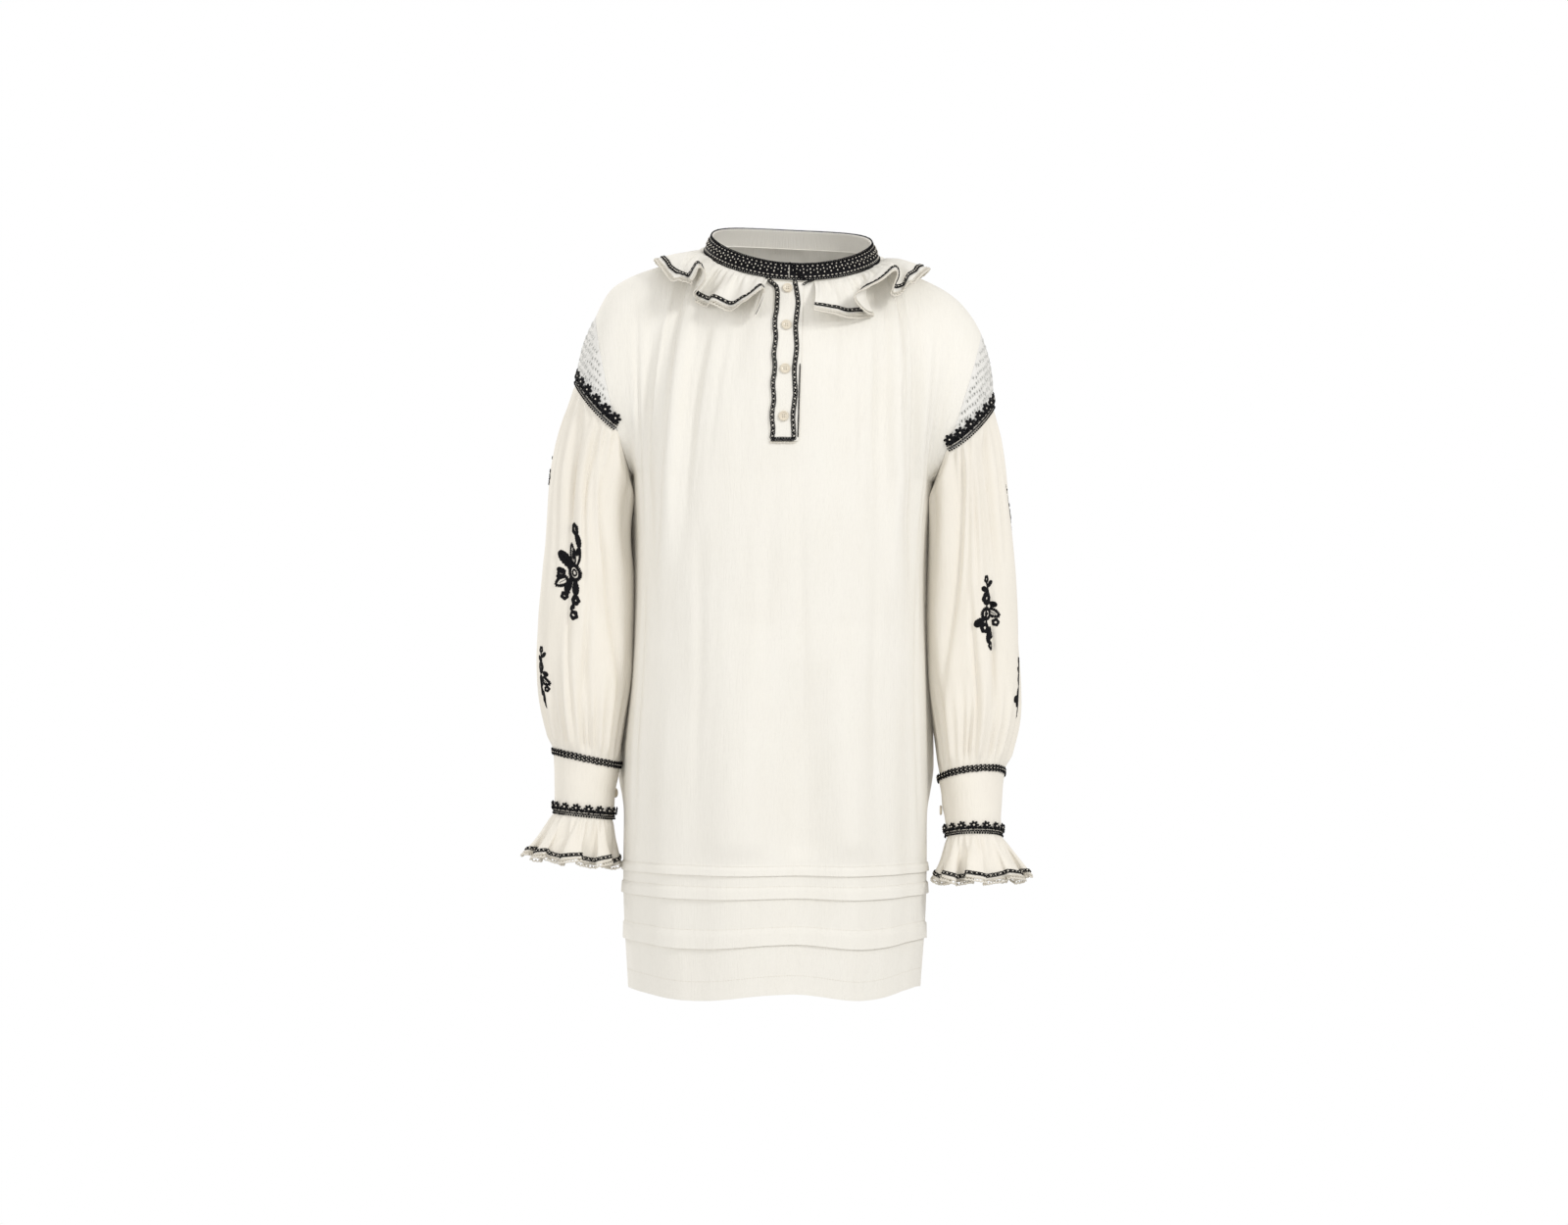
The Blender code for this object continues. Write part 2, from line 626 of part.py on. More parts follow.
def lace_cap(side, name, material):
    degrees = arm_angles(LACE_TIP[side])[None, :]
    v = np.linspace(0, 1, 4)[:, None]
    points = lace_surface(side, degrees, v)
    away = armhole_away(side, degrees) * SEAM
    points = points + away * (1 - v)[..., None] - away * v[..., None]
    outward = armhole_outward(side, np.broadcast_to(degrees, points.shape[:2]))
    return wall(name, points, -outward, CLOTH, material)


def shoulder_scallop(side, name, material):
    """The scalloped braid on the lace, along the sleeve's seam. It narrows to a point with the lace."""
    corners = arm_angles(LACE_TIP[side] * BRAID_REACH)
    degrees = np.interp(np.arange(2 * len(corners) - 1) / 2, np.arange(len(corners)), corners)
    line = lace_surface(side, degrees, 1.0)
    along = np.concatenate([[0.0], np.cumsum(np.linalg.norm(np.diff(line, axis=0), axis=1))])
    waves = round(along[-1] / SCALLOP_PITCH)
    height = SCALLOP_HEIGHT - SCALLOP_DIP * np.abs(np.cos(np.pi * along * waves / along[-1]))
    width = lace_width(side, degrees)
    height = np.minimum(height, width * BRAID_SHARE_OF_LACE)
    v = np.stack([1 - height / width, 1 - 2.5 * SEAM / width])
    outward = armhole_outward(side, np.broadcast_to(degrees, v.shape))
    points = lace_surface(side, degrees[None, :], v) + outward * (SEAM * 1.5 + BRAID)
    return wall(name, points, -outward, BRAID, material)


def ring(side, row, degrees):
    """Points of one ring of a sleeve: 0 is the outer side, 90 the front, 180 the side towards the body."""
    x, y, z, half_width, half_depth, rise, front_rise = row
    a = np.radians(np.asarray(degrees, float))
    return np.stack(
        [x + side * half_width * np.cos(a), y - half_depth * np.sin(a),
         z + rise * np.cos(a) + front_rise * np.sin(a)],
        axis=-1,
    )


def sleeve_start(side, degrees):
    """The sleeve's upper seam: along the lace where there is some, then along the armhole."""
    under = ease((np.abs(degrees) - UNDERARM_START) / UNDERARM_SPAN)[..., None]
    sideways = np.array([side, 0.0, 0.0])
    away = armhole_away(side, degrees) * (1 - under) * SEAM + sideways * under * SLEEVE_CLEAR
    width = lace_width(side, degrees)[..., None]
    return armhole(side, degrees) + np.array(ARM_DIRECTION[side]) * width + away


def sleeve_surface(side, degrees, v):
    """The sleeve with no folds: v 0 at its upper seam and 1 at the cuff."""
    keys = [sleeve_start(side, degrees)]
    keys += [ring(side, row, degrees) for row in SLEEVE_RINGS[side]]
    cuff = ring(side, CUFF_RINGS[side][0], degrees)
    cuff[..., 2] += SEAM
    keys.append(cuff)
    return smooth_through(SLEEVE_PLACES, np.array(keys), v)


def angle_fold_field(folds, degrees, v):
    """How far a sleeve's long folds push the cloth out."""
    total = np.zeros(np.broadcast(degrees, v).shape)
    for top, low, start, end, width, depth in folds:
        along = np.clip((v - start) / (end - start), 0, 1)
        centre = top + (low - top) * along
        off = (degrees - centre + 180.0) % 360.0 - 180.0
        total = total + depth * np.sin(np.pi * along) * np.exp(-((off / width) ** 2))
    return total


def sleeve(side, name, material):
    """A full sleeve, pleated to the lace and gathered to the cuff."""
    degrees = arm_angles()[1:]
    v = np.array(SLEEVE_ROWS)
    base = sleeve_surface(side, degrees, v)
    outward = grid_outward(base, closed=True)
    centre = base.mean(axis=1, keepdims=True)
    if ((base - centre) * outward).sum() < 0:
        outward = -outward
    outward[0] = armhole_outward(side, degrees)
    outward[-1] = unit((base[-1] - centre[-1]) * np.array([1.0, 1.0, 0.0]))
    turn, w = 2 * np.pi * np.arange(len(degrees))[None, :] / len(degrees), v[:, None]
    wave = np.cos(SLEEVE_PLEATS * turn)
    fade = ease((PLEATS_END - w) / (PLEATS_END - PLEATS_START))
    pleats = PLEAT_DEPTH * wave * ease(w / PLEATS_START) * fade
    gathers = CUFF_GATHER_DEPTH * wave * ease((w - PLEATS_END) / GATHERS_SPAN)
    push = pleats + gathers + angle_fold_field(SLEEVE_FOLDS[side], degrees[None, :], w)
    inside = ease((np.abs(degrees)[None, :] - UNDERARM_START) / UNDERARM_SPAN)
    near_ends = ease(w / SLEEVE_ROWS[1]) * ease((1 - w) / (1 - SLEEVE_ROWS[-2]))
    push = push * (1 - INNER_CALM * inside) * near_ends
    outer = base + outward * push[..., None]
    return wall(name, outer, -outward, CLOTH, material, closed=True)


def cuff_outward(side, degrees):
    a = np.radians(np.asarray(degrees, float))
    return np.stack([side * np.cos(a), -np.sin(a), np.zeros(a.shape)], axis=-1)


def cuff_surface(side, degrees, v):
    """The cuff: v 0 at its top and 1 at its foot. degrees may pass a full turn, where the lap steps out."""
    top = ring(side, CUFF_RINGS[side][0], degrees)
    foot = ring(side, CUFF_RINGS[side][1], degrees)
    past = ease((np.asarray(degrees, float) - CUFF_EDGE[side] - LAP_RISE_START) / LAP_RISE_SPAN)[..., None]
    step = cuff_outward(side, degrees) * LAP_STEP * past
    return top + (foot - top) * np.asarray(v, float)[..., None] + step


def cuff_corners(side):
    """Angles from the cuff's under edge round to its lapped edge."""
    return np.linspace(CUFF_EDGE[side], CUFF_EDGE[side] + 360.0 + CUFF_LAP, CUFF_STEPS + 1)


def cuff_length(side):
    return abs(CUFF_RINGS[side][1][2] - CUFF_RINGS[side][0][2])


def cuff(side, name, material):
    """The cuff, one deep strip of double cloth whose ends lap."""
    degrees = np.broadcast_to(cuff_corners(side), (2, CUFF_STEPS + 1))
    v = np.broadcast_to(np.array([[0.0], [1.0]]), degrees.shape)
    return wall(name, cuff_surface(side, degrees, v), -cuff_outward(side, degrees), DOUBLE_CLOTH, material)


def cuff_strip(side, name, low, high, material, scallop=0.0, steps=1):
    """A braid on the cuff between two shares of its length, from the lap's edge all round to the lap."""
    corners = cuff_corners(side)
    start = corners[0] + CUFF_LAP + 2.0
    stops = np.concatenate([[start], corners[corners > start + 1.0]])
    degrees = np.interp(np.arange(steps * (len(stops) - 1) + 1) / steps, np.arange(len(stops)), stops)
    around = np.radians(degrees - degrees[0]) * CUFF_RINGS[side][1][3]
    waves = round(around[-1] / CUFF_SCALLOP_PITCH)
    tops = low + scallop / cuff_length(side) * np.abs(np.cos(np.pi * around * waves / around[-1]))
    v = np.stack([tops, np.full(len(degrees), high)])
    outward = cuff_outward(side, np.broadcast_to(degrees, v.shape))
    top = straight_between(corners, cuff_surface(side, corners, 0.0), degrees)
    foot = straight_between(corners, cuff_surface(side, corners, 1.0), degrees)
    points = top + (foot - top) * v[..., None] + outward * (SEAM + BRAID)
    return wall(name, points, -outward, BRAID, material)


def frill_surface(side, degrees, v):
    """The cuff's frill with its waves: v 0 at the cuff and 1 at its edge."""
    degrees, v = np.broadcast_arrays(np.asarray(degrees, float), np.asarray(v, float))
    start = ring(side, CUFF_RINGS[side][1], degrees)
    start[..., 2] -= SEAM * 1.5
    edge = ring(side, FRILL_RINGS[side], degrees)
    outward = cuff_outward(side, degrees)
    a = np.radians(degrees)
    swing = np.sin(2 * FRILL_WAVES * a) * FRILL_SWING * FRILL_RINGS[side][3] / FRILL_WAVES
    tangent = np.stack([-side * np.sin(a), -np.cos(a), np.zeros(a.shape)], axis=-1)
    open_out = v[..., None] ** 0.8
    wave = FRILL_WAVE * np.cos(FRILL_WAVES * a) * v**1.1
    return start + (edge - start) * open_out + outward * wave[..., None] + tangent * (swing * v)[..., None]


def cuff_frill(side, name, material):
    columns = FRILL_WAVES * FRILL_STEPS
    degrees = np.arange(columns) * 360.0 / columns
    v = np.array(FRILL_ROWS)[:, None]
    points = frill_surface(side, degrees[None, :], v)
    outward = grid_outward(points, closed=True)
    centre = points.mean(axis=1, keepdims=True)
    if ((points - centre) * outward).sum() < 0:
        outward = -outward
    outward[0] = cuff_outward(side, degrees)
    return wall(name, points, -outward, FRILL_CLOTH, material, closed=True)


def neck_slopes(panels):
    """The panels' outer surface round the neck: profile points by angle and distance out from the ring."""
    points, faces = [], []
    for panel in panels:
        first = len(points)
        points += [vertex.co.copy() for vertex in panel.data.vertices]
        faces += [[first + corner for corner in face.vertices] for face in panel.data.polygons]
    tree = BVHTree.FromPolygons(points, faces)
    angles = np.arange(0.0, 361.0, NECK_PROFILE_STEP)
    slopes = np.zeros((len(angles), NECK_PROFILE_POINTS, 3))
    for i, angle in enumerate(angles):
        start, out = neck_ring(angle), neck_outward(angle)
        first = NECK_FRILL_START - NECK_FRILL_FRONT_START * max(math.cos(math.radians(angle)), 0.0) ** 0.7
        for k, distance in enumerate(np.linspace(first, NECK_PROFILE_REACH, NECK_PROFILE_POINTS)):
            x, y = (start + out * distance)[:2]
            hit = tree.ray_cast(Vector((x, y, 0.3)), Vector((0, 0, -1)))[0]
            slopes[i, k] = (x, y, hit.z if hit else slopes[i, k - 1, 2])
    near = np.stack([np.roll(slopes[:-1, :, 2], turn, axis=0) for turn in (-1, 0, 1)])
    slopes[:-1, :, 2] = near.max(axis=0) * 0.5 + near.mean(axis=0) * 0.5
    slopes[-1] = slopes[0]
    return angles, slopes


def neck_outward(degrees):
    """Level directions square to the neck ring."""
    a = np.radians(np.asarray(degrees, float))
    reach = np.where(np.cos(a) > 0, NECK_FRONT_REACH, NECK_BACK_REACH)
    return unit(np.stack([np.sin(a) / NECK_HALF_WIDTH, -np.cos(a) / reach, np.zeros(a.shape)], axis=-1))


def neck_frill_surface(slopes, degrees, v):
    """The falling frill at the neck: v 0 at the band and 1 at its edge."""
    angles, profiles = slopes
    degrees, v = np.broadcast_arrays(np.asarray(degrees, float), np.asarray(v, float))
    table = np.array(NECK_FRILL)
    keys = smooth_through(table[:, 0], table[:, 1:], degrees)
    here = np.clip(degrees + keys[..., 0] * v**SWING_POWER, 0.0, 360.0)
    cell = np.clip((here // NECK_PROFILE_STEP).astype(int), 0, len(angles) - 2)
    part = (here - angles[cell])[..., None, None] / NECK_PROFILE_STEP
    profile = profiles[cell] * (1 - part) + profiles[cell + 1] * part
    steps = np.linalg.norm(np.diff(profile, axis=-2), axis=-1)
    lengths = np.concatenate([np.zeros(steps.shape[:-1] + (1,)), np.cumsum(steps, axis=-1)], axis=-1)
    out = neck_outward(here)
    points = np.zeros(degrees.shape + (3,))
    for place in np.ndindex(degrees.shape):
        at = NECK_FRILL_LENGTH * v[place]
        line = profile[place]
        steps_here = np.array([at, at + SLOPE_STEP, at - SLOPE_STEP])
        point, ahead, behind = straight_between(lengths[place], line, steps_here)
        run = unit(ahead - behind)
        across = np.cross(np.array([0.0, 0.0, 1.0]), out[place])
        square = unit(np.cross(run, across))
        square = square * np.sign(square[2])
        clear = FRILL_CLOTH + SEAM * 2 + NECK_FRILL_CLEAR * ease(v[place] / NECK_FRILL_ROWS[1])
        points[place] = point + square * (clear + keys[place + (1,)] * v[place] ** STAND_POWER)
    return points


def neck_frill(name, panels, material):
    """The frill, with columns at each row of its table and between them."""
    sewn = np.array([row[0] for row in NECK_FRILL])
    places = np.concatenate([[(low + high) / 2, high] for low, high in zip(sewn, sewn[1:])])
    degrees = np.concatenate([sewn[:1], places])
    v = np.array(NECK_FRILL_ROWS)[:, None]
    points = neck_frill_surface(neck_slopes(panels), degrees[None, :], v)
    outward = grid_outward(points)
    if outward[..., 2].sum() < 0:
        outward = -outward
    return wall(name, points, -outward, FRILL_CLOTH, material)


def neck_band(name, material, columns=60):
    """The standing band, split at the front where its ends meet."""
    degrees = np.linspace(BAND_SPLIT + BAND_OPENING / 2, 360.0 + BAND_SPLIT - BAND_OPENING / 2, columns + 1)
    rows = []
    for share in (0.0, 1.0):
        grow = BAND_STANDS_OUT * (1 - share) - BAND_LEAN * share
        rows.append(neck_ring(degrees, grow=grow, up=SEAM * 1.5 + BAND_HEIGHT * share))
    points = np.array(rows)
    outward = np.broadcast_to(neck_outward(degrees), points.shape)
    return wall(name, points, -outward, DOUBLE_CLOTH, material)


def front_place(x, height):
    """The place s across the front at which the unfolded panel has this x, at heights above the underarm."""
    s = np.linspace(-0.4, 0.4, 161)
    x, height = np.broadcast_arrays(np.asarray(x, float), np.asarray(height, float))
    shape = x.shape
    found_s, found_t = [], []
    for one_x, one_height in zip(x.ravel(), height.ravel()):
        s_here = 0.0
        t_here = 0.5
        for _ in range(4):
            t_line = np.linspace(0, 1, 201)
            column = shoulder_part(np.full(t_line.shape, s_here), t_line)
            t_here = float(np.interp(-one_height, -column[:, 2], t_line))
            row = shoulder_part(s, np.full(s.shape, t_here))
            s_here = float(np.interp(one_x, row[:, 0], s))
        found_s.append(s_here)
        found_t.append(t_here)
    return np.array(found_s).reshape(shape), np.array(found_t).reshape(shape)


def on_front(x, height, lift):
    """Points lifted off the unfolded front at the given x and height, and the directions out of it there."""
    s, t = front_place(x, height)
    step = 0.01
    points = shoulder_part(s, t)
    across = shoulder_part(s + step, t) - shoulder_part(s - step, t)
    down = shoulder_part(s, np.minimum(t + step, 1)) - shoulder_part(s, np.maximum(t - step, 0))
    outward = unit(np.cross(across, down))
    outward = outward * np.sign(-outward[..., 1:2])
    points[..., 1] -= SEAM / 2
    return points + outward * lift, outward


def placket_x(offset, height):
    """x on the placket, which leans a little."""
    middle = (placket_top() + PLACKET_END) / 2
    return offset + PLACKET_LEAN * (height - middle)


def placket_top():
    return -NECK_FRONT_DROP - 0.0022


def placket_shares():
    """Shares of the placket's length, closer together at the top, where the chest curves more."""
    return np.linspace(0, 1, 13) ** 1.3


def placket(name, material):
    """The buttoned strip, lying on the front panel."""
    heights = (placket_top() + (PLACKET_END - placket_top()) * placket_shares())[:, None]
    x = placket_x(PLACKET_X + np.linspace(-1, 1, 5)[None, :] * PLACKET_HALF_WIDTH, heights)
    points, outward = on_front(x, heights, SEAM + PLACKET_CLOTH)
    return wall(name, points, -outward, PLACKET_CLOTH, material)


def placket_braid(name, material):
    """The braid down both edges of the placket and across its foot, as one strip with square corners."""
    top, foot = placket_top() - 0.0006, PLACKET_END + 0.0006
    share = placket_shares()
    outer_z = top + (foot - top) * share
    inner_z = top + (foot + PLACKET_BRAID - top) * share
    half = np.array([[PLACKET_BRAID_HALF_WIDTH], [PLACKET_BRAID_HALF_WIDTH - PLACKET_BRAID]])
    z = np.stack([outer_z, inner_z])
    x = np.concatenate([-half + 0 * z, half + 0 * z[:, ::-1]], axis=1)
    z = np.concatenate([z, z[:, ::-1]], axis=1)
    points, outward = on_front(placket_x(PLACKET_BRAID_X + x, z), z, SEAM * 2 + PLACKET_CLOTH + BRAID)
    return wall(name, points, -outward, BRAID, material)


def button(name, seat, outward, material, sides=12):
    """A turned button with a raised rim and a dished middle, its back on the seat."""
    profile = (
        (0.0, 0.55), (0.55, 0.55), (0.75, 1.0), (1.0, 0.75), (0.85, 0.0), (0.0, 0.0),
    )
    outward = np.array(outward) / np.linalg.norm(outward)
    across = unit(np.cross(outward, np.array([0.0, 0.0, 1.0])))
    up = np.cross(across, outward)
    points = [seat + outward * BUTTON_THICKNESS * profile[0][1]]
    for radius, height in profile[1:-1]:
        for k in range(sides):
            a = 2 * math.pi * k / sides
            round_it = across * math.cos(a) + up * math.sin(a)
            points.append(seat + round_it * radius * BUTTON_RADIUS + outward * height * BUTTON_THICKNESS)
    points.append(seat)
    rings = len(profile) - 2
    faces = [(0, 1 + k, 1 + (k + 1) % sides) for k in range(sides)]
    for i in range(rings - 1):
        for k in range(sides):
            a, b = 1 + i * sides + k, 1 + i * sides + (k + 1) % sides
            faces.append((a, a + sides, b + sides, b))
    last = 1 + (rings - 1) * sides
    faces += [(last + k, len(points) - 1, last + (k + 1) % sides) for k in range(sides)]
    return solid(name, np.array(points), faces, material)


def clear_scene():
    for thing in list(bpy.data.objects):
        bpy.data.objects.remove(thing, do_unlink=True)


def build():
    clear_scene()
    cotton = finish("cotton", CREAM, 0.85)
    lace = finish("lace", LACE_WHITE, 0.9)
    black = finish("black_thread", BLACK, 0.6)
    shell = finish("shell", SHELL, 0.35)
    front = body_panel("front", False, places_across(24, 4), BODY_ROWS, FRONT_FOLDS, cotton)
    back = body_panel("back", True, places_across(18, 4), BODY_ROWS[::2], BACK_FOLDS, cotton)
    neck_band("neck_band", black)
    neck_frill("neck_frill", (front, back), cotton)
    placket("placket", cotton)
    placket_braid("placket_braid", black)
    for number, height in enumerate(BUTTON_HEIGHTS, 1):
        seat, outward = on_front(placket_x(PLACKET_BRAID_X, height), height, SEAM * 2 + PLACKET_CLOTH)
        button(f"button_{number}", seat, outward, shell)
    for side, word in ((LEFT, "left"), (RIGHT, "right")):
        lace_cap(side, f"lace_cap_{word}", lace)
        shoulder_scallop(side, f"shoulder_braid_{word}", black)
        sleeve(side, f"sleeve_{word}", cotton)
        cuff(side, f"cuff_{word}", cotton)
        length = cuff_length(side)
        edge = SEAM / length
        cuff_strip(side, f"cuff_top_braid_{word}", edge, CUFF_TOP_BRAID / length, black)
        low = 1 - CUFF_SCALLOP / length
        cuff_strip(side, f"cuff_scallop_{word}", low, 1 - edge, black, CUFF_SCALLOP_DIP, 2)
        cuff_frill(side, f"cuff_frill_{word}", cotton)
        degrees = CUFF_EDGE[side] + 360.0 + CUFF_LAP * 0.5
        outward = cuff_outward(side, degrees)
        seat = cuff_surface(side, degrees, CUFF_BUTTON_SHARE) + outward * (SEAM + BUTTON_SEAT)
        button(f"cuff_button_{word}", seat, outward, shell)


build()
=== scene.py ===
"""Looks of the embroidered tunic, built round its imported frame.

Metres, +Z up, front towards -Y, and +X to the viewer's right. Left and right are the viewer's.
"""

import math

import bpy
import numpy as np
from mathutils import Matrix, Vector
from mathutils.bvhtree import BVHTree


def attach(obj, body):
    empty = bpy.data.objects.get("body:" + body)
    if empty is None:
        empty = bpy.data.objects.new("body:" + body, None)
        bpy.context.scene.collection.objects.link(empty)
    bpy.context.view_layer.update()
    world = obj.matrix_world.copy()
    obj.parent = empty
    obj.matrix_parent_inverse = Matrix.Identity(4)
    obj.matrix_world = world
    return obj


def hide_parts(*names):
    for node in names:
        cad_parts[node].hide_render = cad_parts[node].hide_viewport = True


LEFT, RIGHT = -1, 1
WORDS = {LEFT: "left", RIGHT: "right"}

# Camera
CAMERA_PLACE = (0.0, -4.5, -0.4066)
LENS = 90.4
SENSOR = 36.0

# Light
SKY = 0.77
LAMP_AIM = (0.0, 0.0, -0.42)
# Columns: name, place, size, power
LAMPS = (
    ("key", (2.3, -2.5, 1.5), 0.8, 47.0),
    ("fill", (-2.4, -3.0, 0.1), 2.0, 27.0),
    ("rear", (-2.2, 2.6, 1.3), 1.2, 40.0),
)

# Thickness of the cloth, and how far threads sit off it
GAUZE = 0.0008
DOUBLE = 0.0016
SEAM = 0.0003

# Neck ring
NECK_X = 0.009
NECK_Y = -0.004
NECK_HALF_WIDTH = 0.098
NECK_FRONT_REACH = 0.084
NECK_BACK_REACH = 0.080
NECK_FRONT_DROP = 0.0355
NECK_BACK_RISE = 0.016
NECK_ROLL = -0.048
BAND_HEIGHT = 0.0195
BAND_LEAN = 0.007
BAND_STANDS_OUT = 0.0020
BAND_SPLIT = -2.0
BAND_OPENING = 0.7

# Body
NECK_SHARE = 0.5
UNDERARM = -0.25404
UNDERARM_ROLL = -0.02343
HEM = -0.8396
BODY_BULGE = 2.3
# Columns: height, left, right, front, back
BODY = (
    (-0.254, -0.1725, 0.1690, 0.128, 0.104),
    (-0.300, -0.1690, 0.1630, 0.130, 0.108),
    (-0.380, -0.1690, 0.1590, 0.129, 0.110),
    (-0.480, -0.1730, 0.1600, 0.128, 0.112),
    (-0.560, -0.1800, 0.1620, 0.127, 0.113),
    (-0.640, -0.1825, 0.1630, 0.126, 0.114),
    (-0.740, -0.1830, 0.1620, 0.124, 0.114),
    (-0.8396, -0.1780, 0.1555, 0.121, 0.112),
)
# Columns: sewn, edge, stand
TUCKS = (
    (-0.6900, -0.6996, 0.0024),
    (-0.7127, -0.7264, 0.0026),
    (-0.7610, -0.7816, 0.0028),
)
TUCK_UNDER = 0.0035
# The hem's waves at the front. Columns: place, lift
HEM_WAVES = (
    (-1.0, 0.006), (-0.86, 0.007), (-0.28, 0.0), (0.07, 0.0075), (0.32, 0.0), (0.85, 0.009), (1.0, 0.006),
)
HEM_WAVE_REACH = 0.16
# Folds and creases. Columns: top, low, start, end, width, depth
FRONT_FOLDS = (
    (-0.14, -0.22, -0.03, -0.20, 0.045, -0.0030),
    (-0.27, -0.46, -0.03, -0.36, 0.060, -0.0060),
    (-0.40, -0.58, -0.06, -0.42, 0.060, 0.0050),
    (-0.70, -0.70, -0.06, -0.40, 0.060, -0.0050),
    (0.18, 0.24, -0.03, -0.22, 0.045, -0.0030),
    (0.32, 0.46, -0.03, -0.38, 0.060, -0.0060),
    (0.44, 0.58, -0.06, -0.42, 0.060, 0.0050),
    (0.62, 0.72, -0.06, -0.42, 0.055, -0.0055),
    (0.86, 0.88, -0.08, -0.34, 0.050, -0.0040),
    (-0.10, -0.17, -0.42, -0.95, 0.110, 0.0090),
    (0.10, 0.08, -0.46, -0.95, 0.090, -0.0080),
    (0.26, 0.32, -0.42, -0.95, 0.110, 0.0080),
    (-0.62, -0.60, -0.46, -0.95, 0.090, -0.0040),
    (0.66, 0.62, -0.46, -0.95, 0.090, -0.0040),
)
FRONT_CREASES = (
    (-0.20, -0.30, -0.05, -0.27, 0.016, -0.0016),
    (-0.245, -0.40, -0.05, -0.31, 0.018, 0.0018),
    (-0.33, -0.50, -0.05, -0.34, 0.018, -0.0020),
    (-0.46, -0.63, -0.08, -0.38, 0.020, -0.0018),
    (-0.58, -0.70, -0.05, -0.30, 0.018, 0.0014),
    (-0.80, -0.78, -0.06, -0.33, 0.018, -0.0016),
    (0.15, 0.17, -0.05, -0.20, 0.014, 0.0010),
    (0.24, 0.33, -0.05, -0.30, 0.016, -0.0018),
    (0.29, 0.41, -0.05, -0.33, 0.016, 0.0014),
    (0.37, 0.52, -0.05, -0.38, 0.018, -0.0022),
    (0.50, 0.64, -0.07, -0.38, 0.018, -0.0020),
    (0.56, 0.66, -0.05, -0.30, 0.018, 0.0014),
    (0.78, 0.80, -0.06, -0.36, 0.018, -0.0016),
    (-0.02, -0.05, -0.24, -0.52, 0.022, -0.0012),
    (0.05, 0.10, -0.23, -0.60, 0.020, -0.0014),
    (-0.34, -0.30, -0.30, -0.66, 0.030, -0.0012),
    (0.42, 0.40, -0.34, -0.68, 0.030, -0.0012),
    (-0.75, -0.74, -0.36, -0.68, 0.024, -0.0018),
    (0.78, 0.76, -0.36, -0.68, 0.024, -0.0018),
)
BACK_FOLDS = (
    (-0.30, -0.42, -0.03, -0.40, 0.060, -0.0050),
    (-0.10, -0.12, -0.03, -0.34, 0.060, 0.0050),
    (0.10, 0.14, -0.03, -0.36, 0.060, -0.0050),
    (0.32, 0.44, -0.03, -0.40, 0.060, 0.0050),
    (-0.70, -0.72, -0.06, -0.40, 0.060, -0.0050),
    (0.70, 0.72, -0.06, -0.40, 0.060, -0.0050),
    (-0.40, -0.42, -0.42, -0.95, 0.100, 0.0080),
    (-0.05, -0.08, -0.42, -0.95, 0.100, -0.0080),
    (0.36, 0.38, -0.42, -0.95, 0.100, 0.0080),
)
BACK_CREASES = (
    (-0.20, -0.28, -0.04, -0.30, 0.018, -0.0018),
    (-0.36, -0.50, -0.04, -0.34, 0.018, -0.0018),
    (0.02, 0.03, -0.04, -0.32, 0.018, -0.0016),
    (0.22, 0.28, -0.04, -0.34, 0.018, -0.0018),
    (0.40, 0.52, -0.04, -0.36, 0.018, -0.0018),
    (-0.62, -0.66, -0.06, -0.32, 0.020, -0.0016),
    (0.62, 0.66, -0.06, -0.34, 0.020, -0.0016),
    (-0.18, -0.22, -0.34, -0.66, 0.026, -0.0014),
    (0.24, 0.20, -0.36, -0.66, 0.026, -0.0014),
)
# How the panels leave their top edge. Columns: place, outward, away, down
FRONT_LEAVES = (
    (0.00, 0.00, 0.46, 0.88),
    (0.25, 0.22, 0.62, 0.75),
    (0.50, 0.45, 0.85, 0.42),
    (0.62, 0.22, 0.95, 0.30),
    (0.80, 0.05, 1.00, 0.18),
    (1.00, 0.00, 1.00, 0.10),
)
BACK_LEAVES = (
    (0.00, 0.00, 0.60, 0.70),
    (0.25, 0.22, 0.72, 0.50),
    (0.50, 0.45, 0.85, 0.06),
    (0.62, 0.22, 0.95, 0.08),
    (0.80, 0.05, 1.00, 0.08),
    (1.00, 0.00, 1.00, 0.10),
)
TOP_HANDLE = 0.072
TOP_HANDLE_AT_SHOULDER = 0.010
ARMHOLE_HANDLE = 0.082
LOW_HANDLE = 0.085
FRONT_HANDLE = 0.087
BACK_HANDLE = 0.075
SHOULDER_FALL = -0.10
FOLD_GAIN = 1.5
CREASE_GAIN = 2.0
GATHERS = 34
GATHER_DEPTH = 0.0011
GATHER_LENGTH = 0.130
# Small unevenness of the panels. Columns: depth, across, down
PANEL_RUMPLES = ((0.0009, 0.022, 0.17), (0.00042, 0.0085, 0.07), (0.0012, 0.06, 0.12))
SIDE_BELLY = 0.016
BELLY_TOP, BELLY_TOP_FADE = -0.244, 0.025
BELLY_FOOT, BELLY_FOOT_FADE = -0.66, 0.08
BELLY_START, BELLY_SPREAD = 0.110, 0.040
BELLY_MIDDLE, BELLY_DEPTH = 0.040, 0.030
HEM_STITCHES_UP = 0.020

